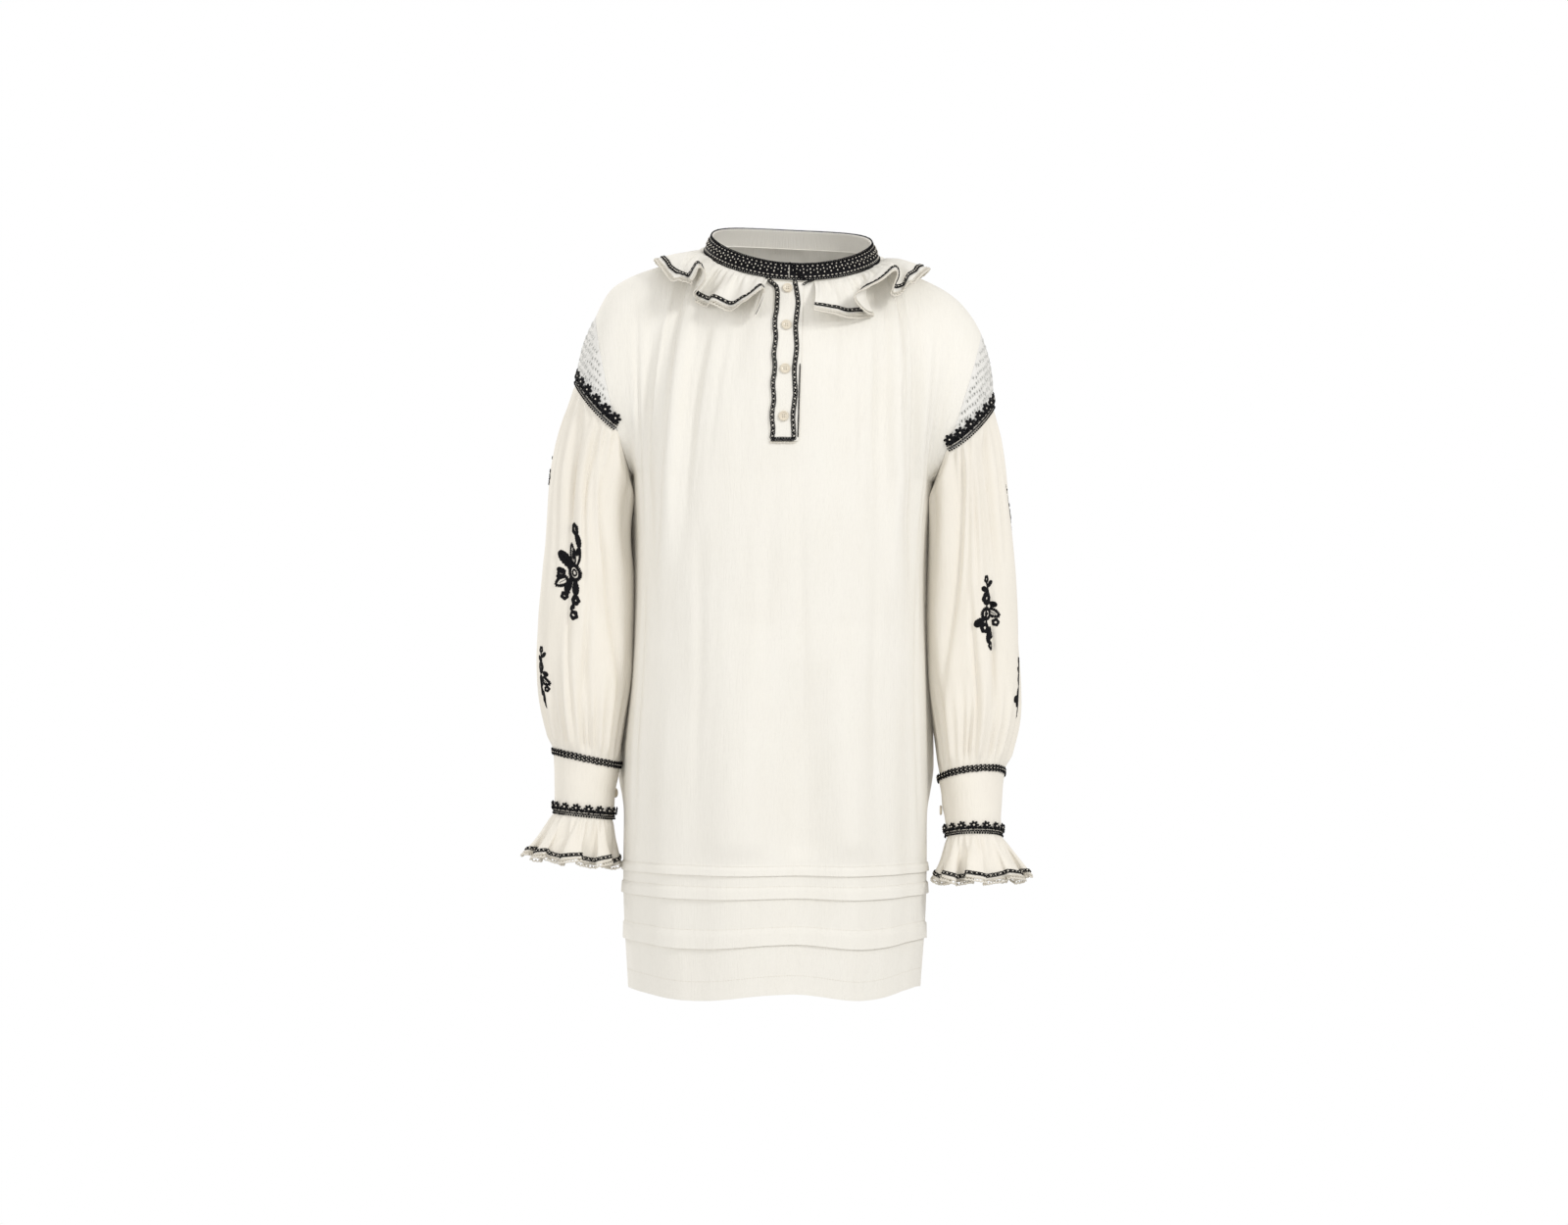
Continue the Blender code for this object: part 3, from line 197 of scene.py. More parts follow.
# Placket and buttons
PLACKET_X = 0.0032
PLACKET_HALF_WIDTH = 0.0158
PLACKET_TOP = -0.0377
PLACKET_END = -0.216
PLACKET_LEAN = 0.030
PLACKET_ROWS = 70
PLACKET_COLUMNS = 15
TRIM_X = 0.0014
TRIM_HALF_WIDTH = 0.0122
BUTTON_HEIGHTS = (-0.0445, -0.0865, -0.1355, -0.1885)
BUTTON_RADIUS = 0.0057
BUTTON_THICKNESS = 0.0026

# Armholes, lace and sleeves. Columns: centre, up, front, lace, round_drop, round_power
ARMHOLE = {
    LEFT: ((-0.193, 0.002, -0.158), (-0.0205, 0.002, 0.092), (-0.005, -0.065, 0.0), 0.080, 0.47, 8),
    RIGHT: ((0.197, 0.008, -0.172), (0.028, 0.008, 0.086), (0.004, -0.065, 0.0), 0.085, 0.42, 6),
}
ARM_DIRECTION = {LEFT: (-0.285, 0.0, -0.958), RIGHT: (0.160, 0.0, -0.987)}
LACE_BULGE = 0.005
LACE_LEAST = 0.0014
LACE_ACROSS = 0.0052
LACE_DOWN = 0.0080
LACE_HOLE = (0.17, 0.22)
LACE_HOLE_SHIFT = (0.10, 0.20)
LACE_HOLE_SIZES = (0.75, 1.15)
# A cell's outline, anticlockwise. Columns: across, down
LACE_CELL = np.array([
    (-2, -2), (-1, -2), (0, -2), (1, -2), (2, -2), (2, 0), (2, 2), (1, 2), (0, 2), (-1, 2), (-2, 2), (-2, 0),
]) / 4
LACE_TIP = {LEFT: 117.0, RIGHT: 126.0}
# Columns: x, y, z, half_width, half_depth, rise, front_rise
SLEEVE_RINGS = {
    LEFT: (
        (-0.2235, 0.002, -0.285, 0.0410, 0.062, 0.038, 0.004),
        (-0.2250, 0.003, -0.352, 0.0465, 0.063, 0.020, 0.002),
        (-0.2290, 0.004, -0.425, 0.0505, 0.063, 0.008, 0.0),
        (-0.2300, 0.002, -0.480, 0.0500, 0.061, 0.002, 0.0),
        (-0.2285, -0.002, -0.526, 0.0455, 0.054, 0.004, 0.0),
        (-0.2270, -0.004, -0.553, 0.0410, 0.046, 0.007, 0.0),
    ),
    RIGHT: (
        (0.2130, 0.011, -0.297, 0.0410, 0.062, 0.030, 0.004),
        (0.2160, 0.016, -0.362, 0.0455, 0.063, 0.014, 0.002),
        (0.2180, 0.020, -0.430, 0.0485, 0.063, 0.004, 0.0),
        (0.2205, 0.018, -0.492, 0.0490, 0.061, -0.002, 0.002),
        (0.2190, 0.010, -0.540, 0.0455, 0.054, 0.000, 0.006),
        (0.2165, 0.004, -0.570, 0.0405, 0.046, 0.003, 0.009),
    ),
}
SLEEVE_PLACES = (0.0, 0.30, 0.47, 0.66, 0.80, 0.915, 0.97, 1.0)
CUFF_RINGS = {
    LEFT: (
        (-0.2260, -0.006, -0.5695, 0.0380, 0.0390, 0.0085, 0.001),
        (-0.2290, -0.012, -0.6375, 0.0330, 0.0350, 0.0035, 0.001),
    ),
    RIGHT: (
        (0.2150, -0.001, -0.5900, 0.0370, 0.0390, 0.004, 0.010),
        (0.2170, -0.020, -0.6610, 0.0305, 0.0350, 0.000, 0.006),
    ),
}
CUFF_BUTTON_SHARE = 0.56
CUFF_EDGE = {LEFT: 196.0, RIGHT: 172.0}
CUFF_LAP = 26.0
LAP_STEP = 0.0022
LAP_RISE_START = 335.0
LAP_RISE_SPAN = 22.0
FRILL_RINGS = {
    LEFT: (-0.2395, -0.014, -0.6870, 0.0475, 0.050, 0.0050, 0.001),
    RIGHT: (0.2230, -0.028, -0.7080, 0.0490, 0.050, 0.0010, 0.002),
}
FRILL_WAVE = 0.0085
FRILL_WAVES = 8
FRILL_DIP = 0.0035
FRILL_SWING = 0.95
SLEEVE_PLEATS = 9
PLEAT_DEPTH = 0.0034
CUFF_GATHER_DEPTH = 0.0030
SLEEVE_LEAN = 0.008
SLEEVE_FOLD_GAIN = 1.25
SLEEVE_CREASE_GAIN = 2.3
# Columns: top, low, start, end, width, depth
SLEEVE_FOLDS = {
    LEFT: (
        (75.0, 62.0, 0.05, 0.75, 15.0, -0.0060),
        (105.0, 128.0, 0.02, 0.70, 17.0, -0.0060),
        (140.0, 150.0, 0.20, 0.98, 17.0, 0.0030),
        (-70.0, -60.0, 0.05, 0.80, 16.0, -0.0060),
        (-115.0, -125.0, 0.05, 0.90, 17.0, -0.0050),
        (20.0, 30.0, 0.10, 0.90, 17.0, 0.0040),
    ),
    RIGHT: (
        (70.0, 58.0, 0.05, 0.80, 15.0, -0.0060),
        (100.0, 118.0, 0.02, 0.75, 17.0, -0.0060),
        (135.0, 148.0, 0.20, 0.98, 17.0, 0.0030),
        (-75.0, -62.0, 0.05, 0.80, 16.0, -0.0060),
        (-112.0, -124.0, 0.05, 0.90, 17.0, -0.0050),
        (15.0, 26.0, 0.10, 0.90, 17.0, 0.0040),
    ),
}
SLEEVE_CREASES = {
    LEFT: (
        (84.0, 92.0, 0.02, 0.60, 4.0, -0.0022),
        (96.0, 118.0, 0.04, 0.55, 4.0, 0.0020),
        (64.0, 60.0, 0.03, 0.50, 3.5, -0.0018),
        (40.0, 44.0, 0.03, 0.60, 3.5, -0.0016),
        (112.0, 140.0, 0.30, 0.92, 5.0, -0.0024),
        (-30.0, -34.0, 0.03, 0.60, 4.0, -0.0018),
        (-84.0, -92.0, 0.04, 0.70, 4.0, -0.0020),
        (-100.0, -112.0, 0.20, 0.90, 5.0, 0.0020),
        (0.0, 6.0, 0.03, 0.50, 4.0, -0.0016),
        (100.0, 94.0, 0.50, 0.98, 4.0, -0.0024),
        (70.0, 78.0, 0.55, 0.98, 4.0, -0.0022),
    ),
    RIGHT: (
        (80.0, 88.0, 0.02, 0.60, 4.0, -0.0022),
        (92.0, 112.0, 0.04, 0.58, 4.0, 0.0020),
        (56.0, 48.0, 0.03, 0.62, 3.5, -0.0022),
        (36.0, 38.0, 0.03, 0.50, 3.5, -0.0016),
        (108.0, 136.0, 0.30, 0.92, 5.0, -0.0024),
        (-28.0, -34.0, 0.03, 0.60, 4.0, -0.0018),
        (-80.0, -92.0, 0.04, 0.70, 4.0, -0.0020),
        (-100.0, -114.0, 0.20, 0.90, 5.0, 0.0020),
        (4.0, 0.0, 0.03, 0.50, 4.0, -0.0016),
        (98.0, 90.0, 0.50, 0.98, 4.0, -0.0024),
        (60.0, 70.0, 0.50, 0.98, 4.0, -0.0022),
    ),
}

# Neck frill
NECK_FRILL_LENGTH = 0.053
NECK_FRILL_START = 0.0027
NECK_FRILL_FRONT_START = 0.0018
NECK_FRILL_CLEAR = 0.0024
NECK_PROFILE_STEP = 5.0
NECK_PROFILE_REACH = 0.080
NECK_PROFILE_POINTS = 24
NECK_PROFILE_SPOTS = 81
# Columns: sewn, swing, stand
NECK_FRILL = (
    (14.5, -4.5, 0.026),
    (23.0, -3.0, 0.020),
    (33.0, -2.0, 0.008),
    (42.0, 2.5, 0.001),
    (46.0, -8.0, 0.012),
    (50.0, -19.5, 0.028),
    (55.0, -26.0, 0.0355),
    (63.0, -25.5, 0.0405),
    (71.0, -21.5, 0.0435),
    (77.0, -28.5, 0.028),
    (83.0, -28.5, 0.026),
    (88.0, -28.0, 0.0325),
    (92.0, -16.0, 0.022),
    (95.0, -3.0, 0.009),
    (103.0, -2.5, 0.006),
    (112.0, -3.0, 0.001),
    (122.0, 2.5, 0.013),
    (131.0, 4.0, 0.019),
    (140.0, -3.0, 0.012),
    (149.0, -4.0, 0.001),
    (160.0, 3.0, 0.014),
    (169.0, 4.0, 0.020),
    (178.0, -3.0, 0.012),
    (187.0, -4.0, 0.001),
    (198.0, 3.0, 0.014),
    (207.0, 4.0, 0.020),
    (216.0, -3.0, 0.011),
    (225.0, -4.0, 0.001),
    (236.0, 3.0, 0.013),
    (245.0, 3.5, 0.018),
    (254.0, -3.0, 0.007),
    (260.0, -2.0, 0.003),
    (265.0, 1.0, 0.004),
    (268.5, 14.0, 0.013),
    (272.0, 26.0, 0.0235),
    (279.0, 29.0, 0.0285),
    (285.0, 26.5, 0.0300),
    (292.0, 25.5, 0.0440),
    (299.0, 20.5, 0.0360),
    (303.0, 8.0, 0.018),
    (307.0, -0.5, 0.002),
    (313.0, 0.0, 0.001),
    (319.0, 0.5, 0.015),
    (326.0, 2.0, 0.010),
    (334.0, 4.0, 0.0285),
    (341.0, 6.5, 0.036),
    (344.5, -5.0, 0.002),
)

# Thread work. Columns: pitch, length, width, height
STITCH = {
    "tuck": (0.0030, 0.0021, 0.00042, 0.00022),
    "frill_chain": (0.0034, 0.00425, 0.0029, 0.0012),
    "frill_speck": (0.0058, 0.0021, 0.0016, 0.0007),
    "frill_picot": (0.0036, 0.0046, 0.0040, 0.0046),
    "frill_border": (0.0036, 0.0044, 0.0024, 0.0012),
    "band_flower": (0.0078, 0.0074, 0.0074, 0.0012),
    "band_top_dash": (0.0058, 0.0022, 0.0012, 0.0009),
    "band_between_dash": (0.0078, 0.0014, 0.0024, 0.0009),
    "band_eye": (0.0078, 0.0013, 0.0013, 0.0009),
    "band_cream_line": (0.0052, 0.0030, 0.0012, 0.0007),
    "band_edge": (0.0030, 0.0041, 0.0026, 0.0013),
    "band_foot": (0.0030, 0.0041, 0.0038, 0.0013),
    "band_slant": (0.0030, 0.0041, 0.0034, 0.0016),
    "lace_rim": (LACE_ACROSS, 0.0026, 0.0044, 0.0012),
    "braid_line": (0.0030, 0.0041, 0.0023, 0.0011),
    "braid_eye": (0.0, 0.0022, 0.0022, 0.0010),
    "braid_cord": (0.0030, 0.0038, 0.0007, 0.0004),
    "braid_bead": (0.0030, 0.0024, 0.0024, 0.0014),
    "cuff_lattice": (0.0050, 0.0066, 0.0044, 0.0015),
    "cuff_speck": (0.0050, 0.0013, 0.0016, 0.0006),
    "placket_chain": (0.0031, 0.0039, 0.0031, 0.0012),
    "placket_thin": (0.0029, 0.0037, 0.0019, 0.0010),
    "placket_corner": (0.0031, 0.0040, 0.0034, 0.0012),
    "placket_speck": (0.0060, 0.0021, 0.0016, 0.0008),
    "placket_picot": (0.0034, 0.0034, 0.0030, 0.0030),
    "button_hole": (0.0, 0.0013, 0.0013, 0.0001),
    "button_thread": (0.0, 0.0027, 0.00045, 0.00045),
}
EDGE_SLOTS = ("black_thread", "cotton", "cotton", "cotton")
EDGE_STEPS = 4000
CHAIN_HALF_GAP = 0.00125
NECK_CHAIN_UP = 0.0062
CUFF_CHAIN_UP = 0.0066
LATTICE_UP = 0.0030
LATTICE_TURN = 0.72
LATTICE_SHIFT = 0.0012
# Braids. Columns: pitch, size, heights of the two lines
SHOULDER_BRAID = (0.0158, 0.0142, (0.0006, 0.0040))
CUFF_BRAID = (0.0137, 0.0108, (0.0004, 0.0034))
BUTTON_SIDES = 40
BUTTON_HOLE_REACH = 0.00115
BUTTON_THREAD_APART = 0.0002
# Columns: radius, height, as shares
BUTTON_PROFILE = (
    (0.30, 0.50), (0.55, 0.52), (0.66, 0.72), (0.78, 0.98), (0.90, 1.0), (0.985, 0.82), (1.0, 0.55),
    (0.93, 0.22), (0.80, 0.02),
)
MM = 0.001


# Small maths


def unit(vectors):
    """Vectors of length one."""
    return vectors / np.maximum(np.linalg.norm(vectors, axis=-1, keepdims=True), 1e-12)


def ease(x):
    """0 to 1 with level ends."""
    x = np.clip(x, 0.0, 1.0)
    return x * x * (3.0 - 2.0 * x)


def smooth_through(places, keys, at):
    """A smooth curve through keys, which are given at rising places, read at the places in at."""
    places = np.asarray(places, float)
    keys = np.asarray(keys, float)
    slopes = np.gradient(keys, places, axis=0)
    at = np.asarray(at, float)
    cell = np.clip(np.searchsorted(places, at, side="right") - 1, 0, len(places) - 2)
    span = places[cell + 1] - places[cell]
    t = np.clip((at - places[cell]) / span, 0.0, 1.0)
    shape = t.shape + (1,) * (keys.ndim - 1)
    t, span = t.reshape(shape), span.reshape(shape)
    return (
        (2 * t**3 - 3 * t**2 + 1) * keys[cell]
        + (t**3 - 2 * t**2 + t) * span * slopes[cell]
        + (3 * t**2 - 2 * t**3) * keys[cell + 1]
        + (t**3 - t**2) * span * slopes[cell + 1]
    )


def lengths(points):
    """How far along a line of points each one lies."""
    return np.concatenate([[0.0], np.cumsum(np.linalg.norm(np.diff(points, axis=0), axis=-1))])


def read_line(at, length, points):
    """Points read along a line at the lengths in at."""
    return np.stack([np.interp(at, length, column) for column in points.T], axis=-1)


def rumple(u, v, across, down, seed):
    """Smooth random heights from -1 to 1, in patches about across wide and down long."""
    lattice = np.random.default_rng(seed).uniform(-1, 1, (97, 97))
    x, y = np.broadcast_arrays(u / across, v / down)
    i, j = np.floor(x).astype(int), np.floor(y).astype(int)
    fx, fy = ease(x - i), ease(y - j)
    corner = [[lattice[(i + a) % 97, (j + b) % 97] for b in (0, 1)] for a in (0, 1)]
    near = corner[0][0] * (1 - fy) + corner[0][1] * fy
    far = corner[1][0] * (1 - fy) + corner[1][1] * fy
    return near * (1 - fx) + far * fx


def uneven(x, seed, amount):
    """Places shifted a little, so that a row of waves isn't even."""
    return x + amount * rumple(x, 0.0 * x, 3 * amount, 1.0, seed)


# Cloth as a grid of points


def grid_outward(points, closed=False):
    """Directions square to a grid of points."""
    down = np.gradient(points, axis=0)
    if closed:
        across = np.roll(points, -1, axis=1) - np.roll(points, 1, axis=1)
    else:
        across = np.gradient(points, axis=1)
    return unit(np.cross(across, down))


def flat_places(points, closed):
    """Each point's place on the cloth laid flat: metres across and metres down, columns of equal width."""
    whole = np.concatenate([points, points[:, :1]], axis=1) if closed else points
    across = np.linalg.norm(np.diff(whole, axis=1), axis=-1).mean(axis=0)
    down = np.linalg.norm(np.diff(whole, axis=0), axis=-1).mean(axis=1)
    u = np.concatenate([[0.0], np.cumsum(across)])
    v = np.concatenate([[0.0], np.cumsum(down)])
    return np.stack(np.meshgrid(u, v), axis=-1)


class Cloth:
    """Rows and columns of points on one face of a piece of cloth, and the directions out of it."""

    def __init__(self, points, closed=False, out=None):
        self.closed = closed
        self.turned = 1.0
        self.set(points)
        if out is not None and (self.outward * out).sum() < 0:
            self.turned = -1.0
            self.outward = -self.outward
        self.flat = flat_places(points, closed)

    def set(self, points):
        self.points = points
        self.outward = self.turned * grid_outward(points, self.closed)

    def push(self, amount):
        self.set(self.points + self.outward * amount[..., None])

    @property
    def u(self):
        return self.flat[:, :self.points.shape[1], 0]

    @property
    def v(self):
        return self.flat[:, :self.points.shape[1], 1]

    def read(self, rows, columns, lift=0.0):
        """Points, directions out, and steps across and down at rows and columns that need not be whole."""
        count_rows, count_columns = self.points.shape[:2]
        rows, columns = np.broadcast_arrays(np.asarray(rows, float), np.asarray(columns, float))
        row = np.clip(np.floor(rows).astype(int), 0, count_rows - 2)
        column = np.floor(columns).astype(int)
        if not self.closed:
            column = np.clip(column, 0, count_columns - 2)
        p, q = (rows - row)[..., None], (columns - column)[..., None]
        left, right = column % count_columns, (column + 1) % count_columns

        def mix(field):
            top = field[row, left] * (1 - q) + field[row, right] * q
            low = field[row + 1, left] * (1 - q) + field[row + 1, right] * q
            return top * (1 - p) + low * p

        across = self.points[row, right] - self.points[row, left]
        down = self.points[row + 1, left] - self.points[row, left]
        outward = unit(mix(self.outward))
        return mix(self.points) + outward * lift, outward, across, down

    def line(self, rows, columns, pitch, lift=0.0, steps=1500):
        """Places a pitch apart along a line across the cloth."""
        share = np.linspace(0, 1, steps)
        keys = np.linspace(0, 1, len(rows))
        points, outward = self.read(np.interp(share, keys, rows), np.interp(share, keys, columns), lift)[:2]
        return along_points(points, outward, pitch)

    def row_of(self, kind, row, ends, lift, steps=1500):
        """Stitches of one kind along a row, between two columns."""
        return sized(self.line((row, row), ends, STITCH[kind][0], lift, steps), kind)

    def patch(self, row, column, drawn, height, lift=0.0):
        """A drawing's stitches laid on the cloth round one place."""
        across, down = self.read(row, column)[2:]
        wide, deep = np.linalg.norm(across), np.linalg.norm(down)
        x, y, angle, length, width = drawn.T
        points, outward, across, down = self.read(row + y / deep, column + x / wide, lift)
        across, down = unit(across), unit(down)
        along = across * np.cos(angle)[:, None] + down * np.sin(angle)[:, None]
        size = np.stack([length, width, np.broadcast_to(height, length.shape)], axis=-1)
        return points, along, outward, size


def along_points(points, outward, pitch):
    """Places a pitch apart along a line of points: points, directions along it and out, with no sizes."""
    length = lengths(points)
    count = max(int(round(length[-1] / pitch)), 2)
    at = (np.arange(count) + 0.5) / count * length[-1]
    reach = pitch * 0.35
    ahead, behind = (read_line(at + way * reach, length, points) for way in (1, -1))
    return read_line(at, length, points), unit(ahead - behind), unit(read_line(at, length, outward))


def sized(places, size):
    """Places with one size for all: a kind of stitch, or its length, width and height."""
    size = STITCH[size][1:] if isinstance(size, str) else size
    return (*places, np.broadcast_to(size, places[0].shape))


def upward(places, towards):
    """Directions across a line, square to its out and turned to the same side as towards."""
    up = unit(np.cross(places[2], places[1]))
    return up * np.sign((up * towards).sum(-1, keepdims=True))


def together(*groups):
    """Several groups of places as one."""
    return tuple(np.concatenate(parts) for parts in zip(*groups))


# Meshes


def add_object(name, data):
    """A new object in the scene."""
    thing = bpy.data.objects.new(name, data)
    bpy.context.scene.collection.objects.link(thing)
    return thing


def mesh_object(name, points, faces, material, uv):
    """An object from points and faces of one length, with a place on the flat cloth for each face corner."""
    faces = np.asarray(faces, np.int32)
    mesh = bpy.data.meshes.new(name)
    mesh.vertices.add(len(points))
    mesh.vertices.foreach_set("co", np.asarray(points, np.float32).ravel())
    mesh.loops.add(faces.size)
    mesh.loops.foreach_set("vertex_index", faces.ravel())
    mesh.polygons.add(len(faces))
    mesh.polygons.foreach_set("loop_start", np.arange(len(faces), dtype=np.int32) * faces.shape[1])
    mesh.uv_layers.new(name="flat").data.foreach_set("uv", np.asarray(uv, np.float32).ravel())
    mesh.update(calc_edges=True)
    mesh.validate()
    mesh.shade_smooth()
    mesh.materials.append(material)
    return add_object(name, mesh)


def volume_of(points, faces):
    """Six times the volume inside a closed mesh of quads, below 0 where its faces point in."""
    a, b, c, d = (points[faces[:, k]] for k in range(4))
    return float((a * np.cross(b, c)).sum() + (a * np.cross(c, d)).sum())


def wall(name, cloth, thickness, material):
    """A piece of cloth as a closed thin wall: its outer face is the cloth's points."""
    outer = cloth.points
    inner = outer - cloth.outward * thickness
    rows, columns = outer.shape[:2]
    spots = np.arange(rows * columns).reshape(rows, columns)
    if cloth.closed:
        spots = np.concatenate([spots, spots[:, :1]], axis=1)
    flat = cloth.flat.reshape(-1, 2)
    places = np.arange(spots.size).reshape(spots.shape)
    shift = rows * columns

    def quads(grid):
        a, b, c, d = grid[:-1, :-1], grid[:-1, 1:], grid[1:, 1:], grid[1:, :-1]
        return np.stack([a, b, c, d], axis=-1).reshape(-1, 4)

    face, place = quads(spots), quads(places)
    faces = [face, face[:, ::-1] + shift]
    flats = [place, place[:, ::-1]]
    rims = [(spots[0, ::-1], places[0, ::-1]), (spots[-1], places[-1])]
    if not cloth.closed:
        rims += [(spots[:, 0], places[:, 0]), (spots[::-1, -1], places[::-1, -1])]
    for line, at in rims:
        faces.append(np.stack([line[:-1], line[1:], line[1:] + shift, line[:-1] + shift], axis=-1))
        flats.append(np.stack([at[:-1], at[1:], at[1:], at[:-1]], axis=-1))
    points = np.concatenate([outer.reshape(-1, 3), inner.reshape(-1, 3)])
    faces, flats = np.concatenate(faces), np.concatenate(flats)
    if volume_of(points, faces) < 0:
        faces, flats = faces[:, ::-1], flats[:, ::-1]
    thing = mesh_object(name, points, faces, material, flat[flats])
    thing.data.set_sharp_from_angle(angle=math.radians(65))
    return thing


# Small shapes that are repeated. Each is one long and one wide, along X, and stands up along Z.


def ring_faces(rings, sides, first=0, closed=False):
    """Quads between neighbouring rings of points. Closed joins the last ring to the first."""
    faces = []
    for i in range(rings if closed else rings - 1):
        after = (i + 1) % rings
        for k in range(sides):
            beside = (k + 1) % sides
            corners = ((i, k), (i, beside), (after, beside), (after, k))
            faces.append(tuple(first + row * sides + corner for row, corner in corners))
    return faces


def turned_over(faces):
    """The same faces looking the other way, from the same first corner."""
    return [face[:1] + face[:0:-1] for face in faces]


def cap(first, sides):
    """One face over a ring of points."""
    return tuple(range(first, first + sides))


def tube(line, radius, sides=3, closed=True):
    """Points and quads of a thin tube along a line in the XY plane."""
    line = np.asarray(line, float)
    count = len(line)
    if closed:
        along = np.roll(line, -1, axis=0) - np.roll(line, 1, axis=0)
    else:
        along = np.gradient(line, axis=0)
    beside = unit(np.stack([-along[:, 1], along[:, 0], np.zeros(count)], axis=-1))
    points = []
    for k in range(sides):
        a = 2 * math.pi * (k + 0.5) / sides
        points.append(line + beside * math.cos(a) * radius + np.array([0, 0, math.sin(a) * radius]))
    points = np.stack(points, axis=1).reshape(-1, 3)
    return points, ring_faces(count, sides, closed=closed)


def small_object(name, points, faces):
    """A small object from a few points and faces."""
    mesh = bpy.data.meshes.new(name)
    mesh.from_pydata([tuple(p) for p in points], [], faces)
    mesh.shade_smooth()
    return add_object(name, mesh)


def satin_item():
    """One satin stitch, plump and pointed."""
    sides, rings = 5, (-0.24, 0.24)
    points = [(-0.5, 0, 0.1)]
    for x in rings:
        for k in range(sides):
            a = math.pi * k / (sides - 1)
            points.append((x, -0.5 * math.cos(a), math.sin(a)))
    points.append((0.5, 0, 0.1))
    faces = turned_over(ring_faces(len(rings), sides, first=1))
    for k in range(sides):
        after = (k + 1) % sides
        faces += [(0, 1 + k, 1 + after), (1 + sides + after, 1 + sides + k, len(points) - 1)]
    return small_object("satin", points, faces)


def link_item():
    """One link of a chain stitch, open in its middle and narrow at its start."""
    turn = np.linspace(0, 2 * math.pi, 8, endpoint=False)
    narrow = 0.62 + 0.38 * np.cos(turn)
    beside = 0.36 * np.sin(turn) * (0.55 + 0.45 * narrow)
    line = np.stack([0.42 * np.cos(turn), beside, 0 * turn + 0.5], axis=-1)
    thick = 0.18
    points, faces = tube(line, thick)
    points[:, 2] = (points[:, 2] - 0.5 + thick) / (2 * thick)
    return small_object("link", points, faces)


def picot_item():
    """One loop of a crochet edge. Its foot is at the cloth's edge and it reaches away along Y."""
    turn = np.linspace(-0.15 * math.pi, 1.15 * math.pi, 8)
    line = np.stack([0.42 * np.cos(turn), 0.50 + 0.42 * np.sin(turn), 0 * turn], axis=-1)
    points, faces = tube(line, 0.24, closed=False)
    faces += [cap(0, 3)[::-1], cap(len(points) - 3, 3)]
    return small_object("picot", points, faces)


def ring_item():
    """The stitched rim of an eyelet."""
    turn = np.linspace(0, 2 * math.pi, 8, endpoint=False)
    points, faces = tube(np.stack([0.5 * np.cos(turn), 0.5 * np.sin(turn), 0 * turn], axis=-1), 0.11)
    return small_object("ring", points, faces)


def bloom_item(name, petals, pinch, hollow):
    """A raised flower: petals with grooves between them and a dished middle."""
    around = petals * 4
    shells = ((1.0, 0.0), (0.92, 0.55), (0.62, 1.0), (0.34, 0.75), (0.20, hollow))
    points = []
    for radius, height in shells:
        for k in range(around):
            a = 2 * math.pi * k / around
            groove = abs(math.sin(petals * a / 2))
            size = 0.5 * radius * (1 - pinch * (1 - groove) * (radius > 0.5))
            rise = height * (0.45 + 0.55 * groove) if radius > 0.3 else height
            points.append((size * math.cos(a), size * math.sin(a), rise))
    points.append((0, 0, hollow))
    faces = ring_faces(len(shells), around)
    last = (len(shells) - 1) * around
    faces += [(last + k, last + (k + 1) % around, len(points) - 1) for k in range(around)]
    faces.append(cap(0, around)[::-1])
    return small_object(name, points, faces)


def knot_item():
    """A French knot."""
    points, sides = [], 6
    for radius, height in ((0.5, 0.0), (0.42, 0.7)):
        for k in range(sides):
            a = 2 * math.pi * k / sides
            points.append((radius * math.cos(a), radius * math.sin(a), height))
    points.append((0, 0, 1))
    faces = ring_faces(2, sides)
    faces += [(sides + k, sides + (k + 1) % sides, 2 * sides) for k in range(sides)]
    faces.append(cap(0, sides)[::-1])
    return small_object("knot", points, faces)


def add_node(tree, kind, values=(), sources=(), **settings):
    """A node with its settings, its fixed inputs and the outputs that lead into it, by input."""
    node = tree.nodes.new(kind)
    for word, setting in settings.items():
        setattr(node, word, setting)
    for word, value in dict(values).items():
        node.inputs[word].default_value = value
    for word, source in dict(sources).items():
        tree.links.new(source, node.inputs[word])
    return node


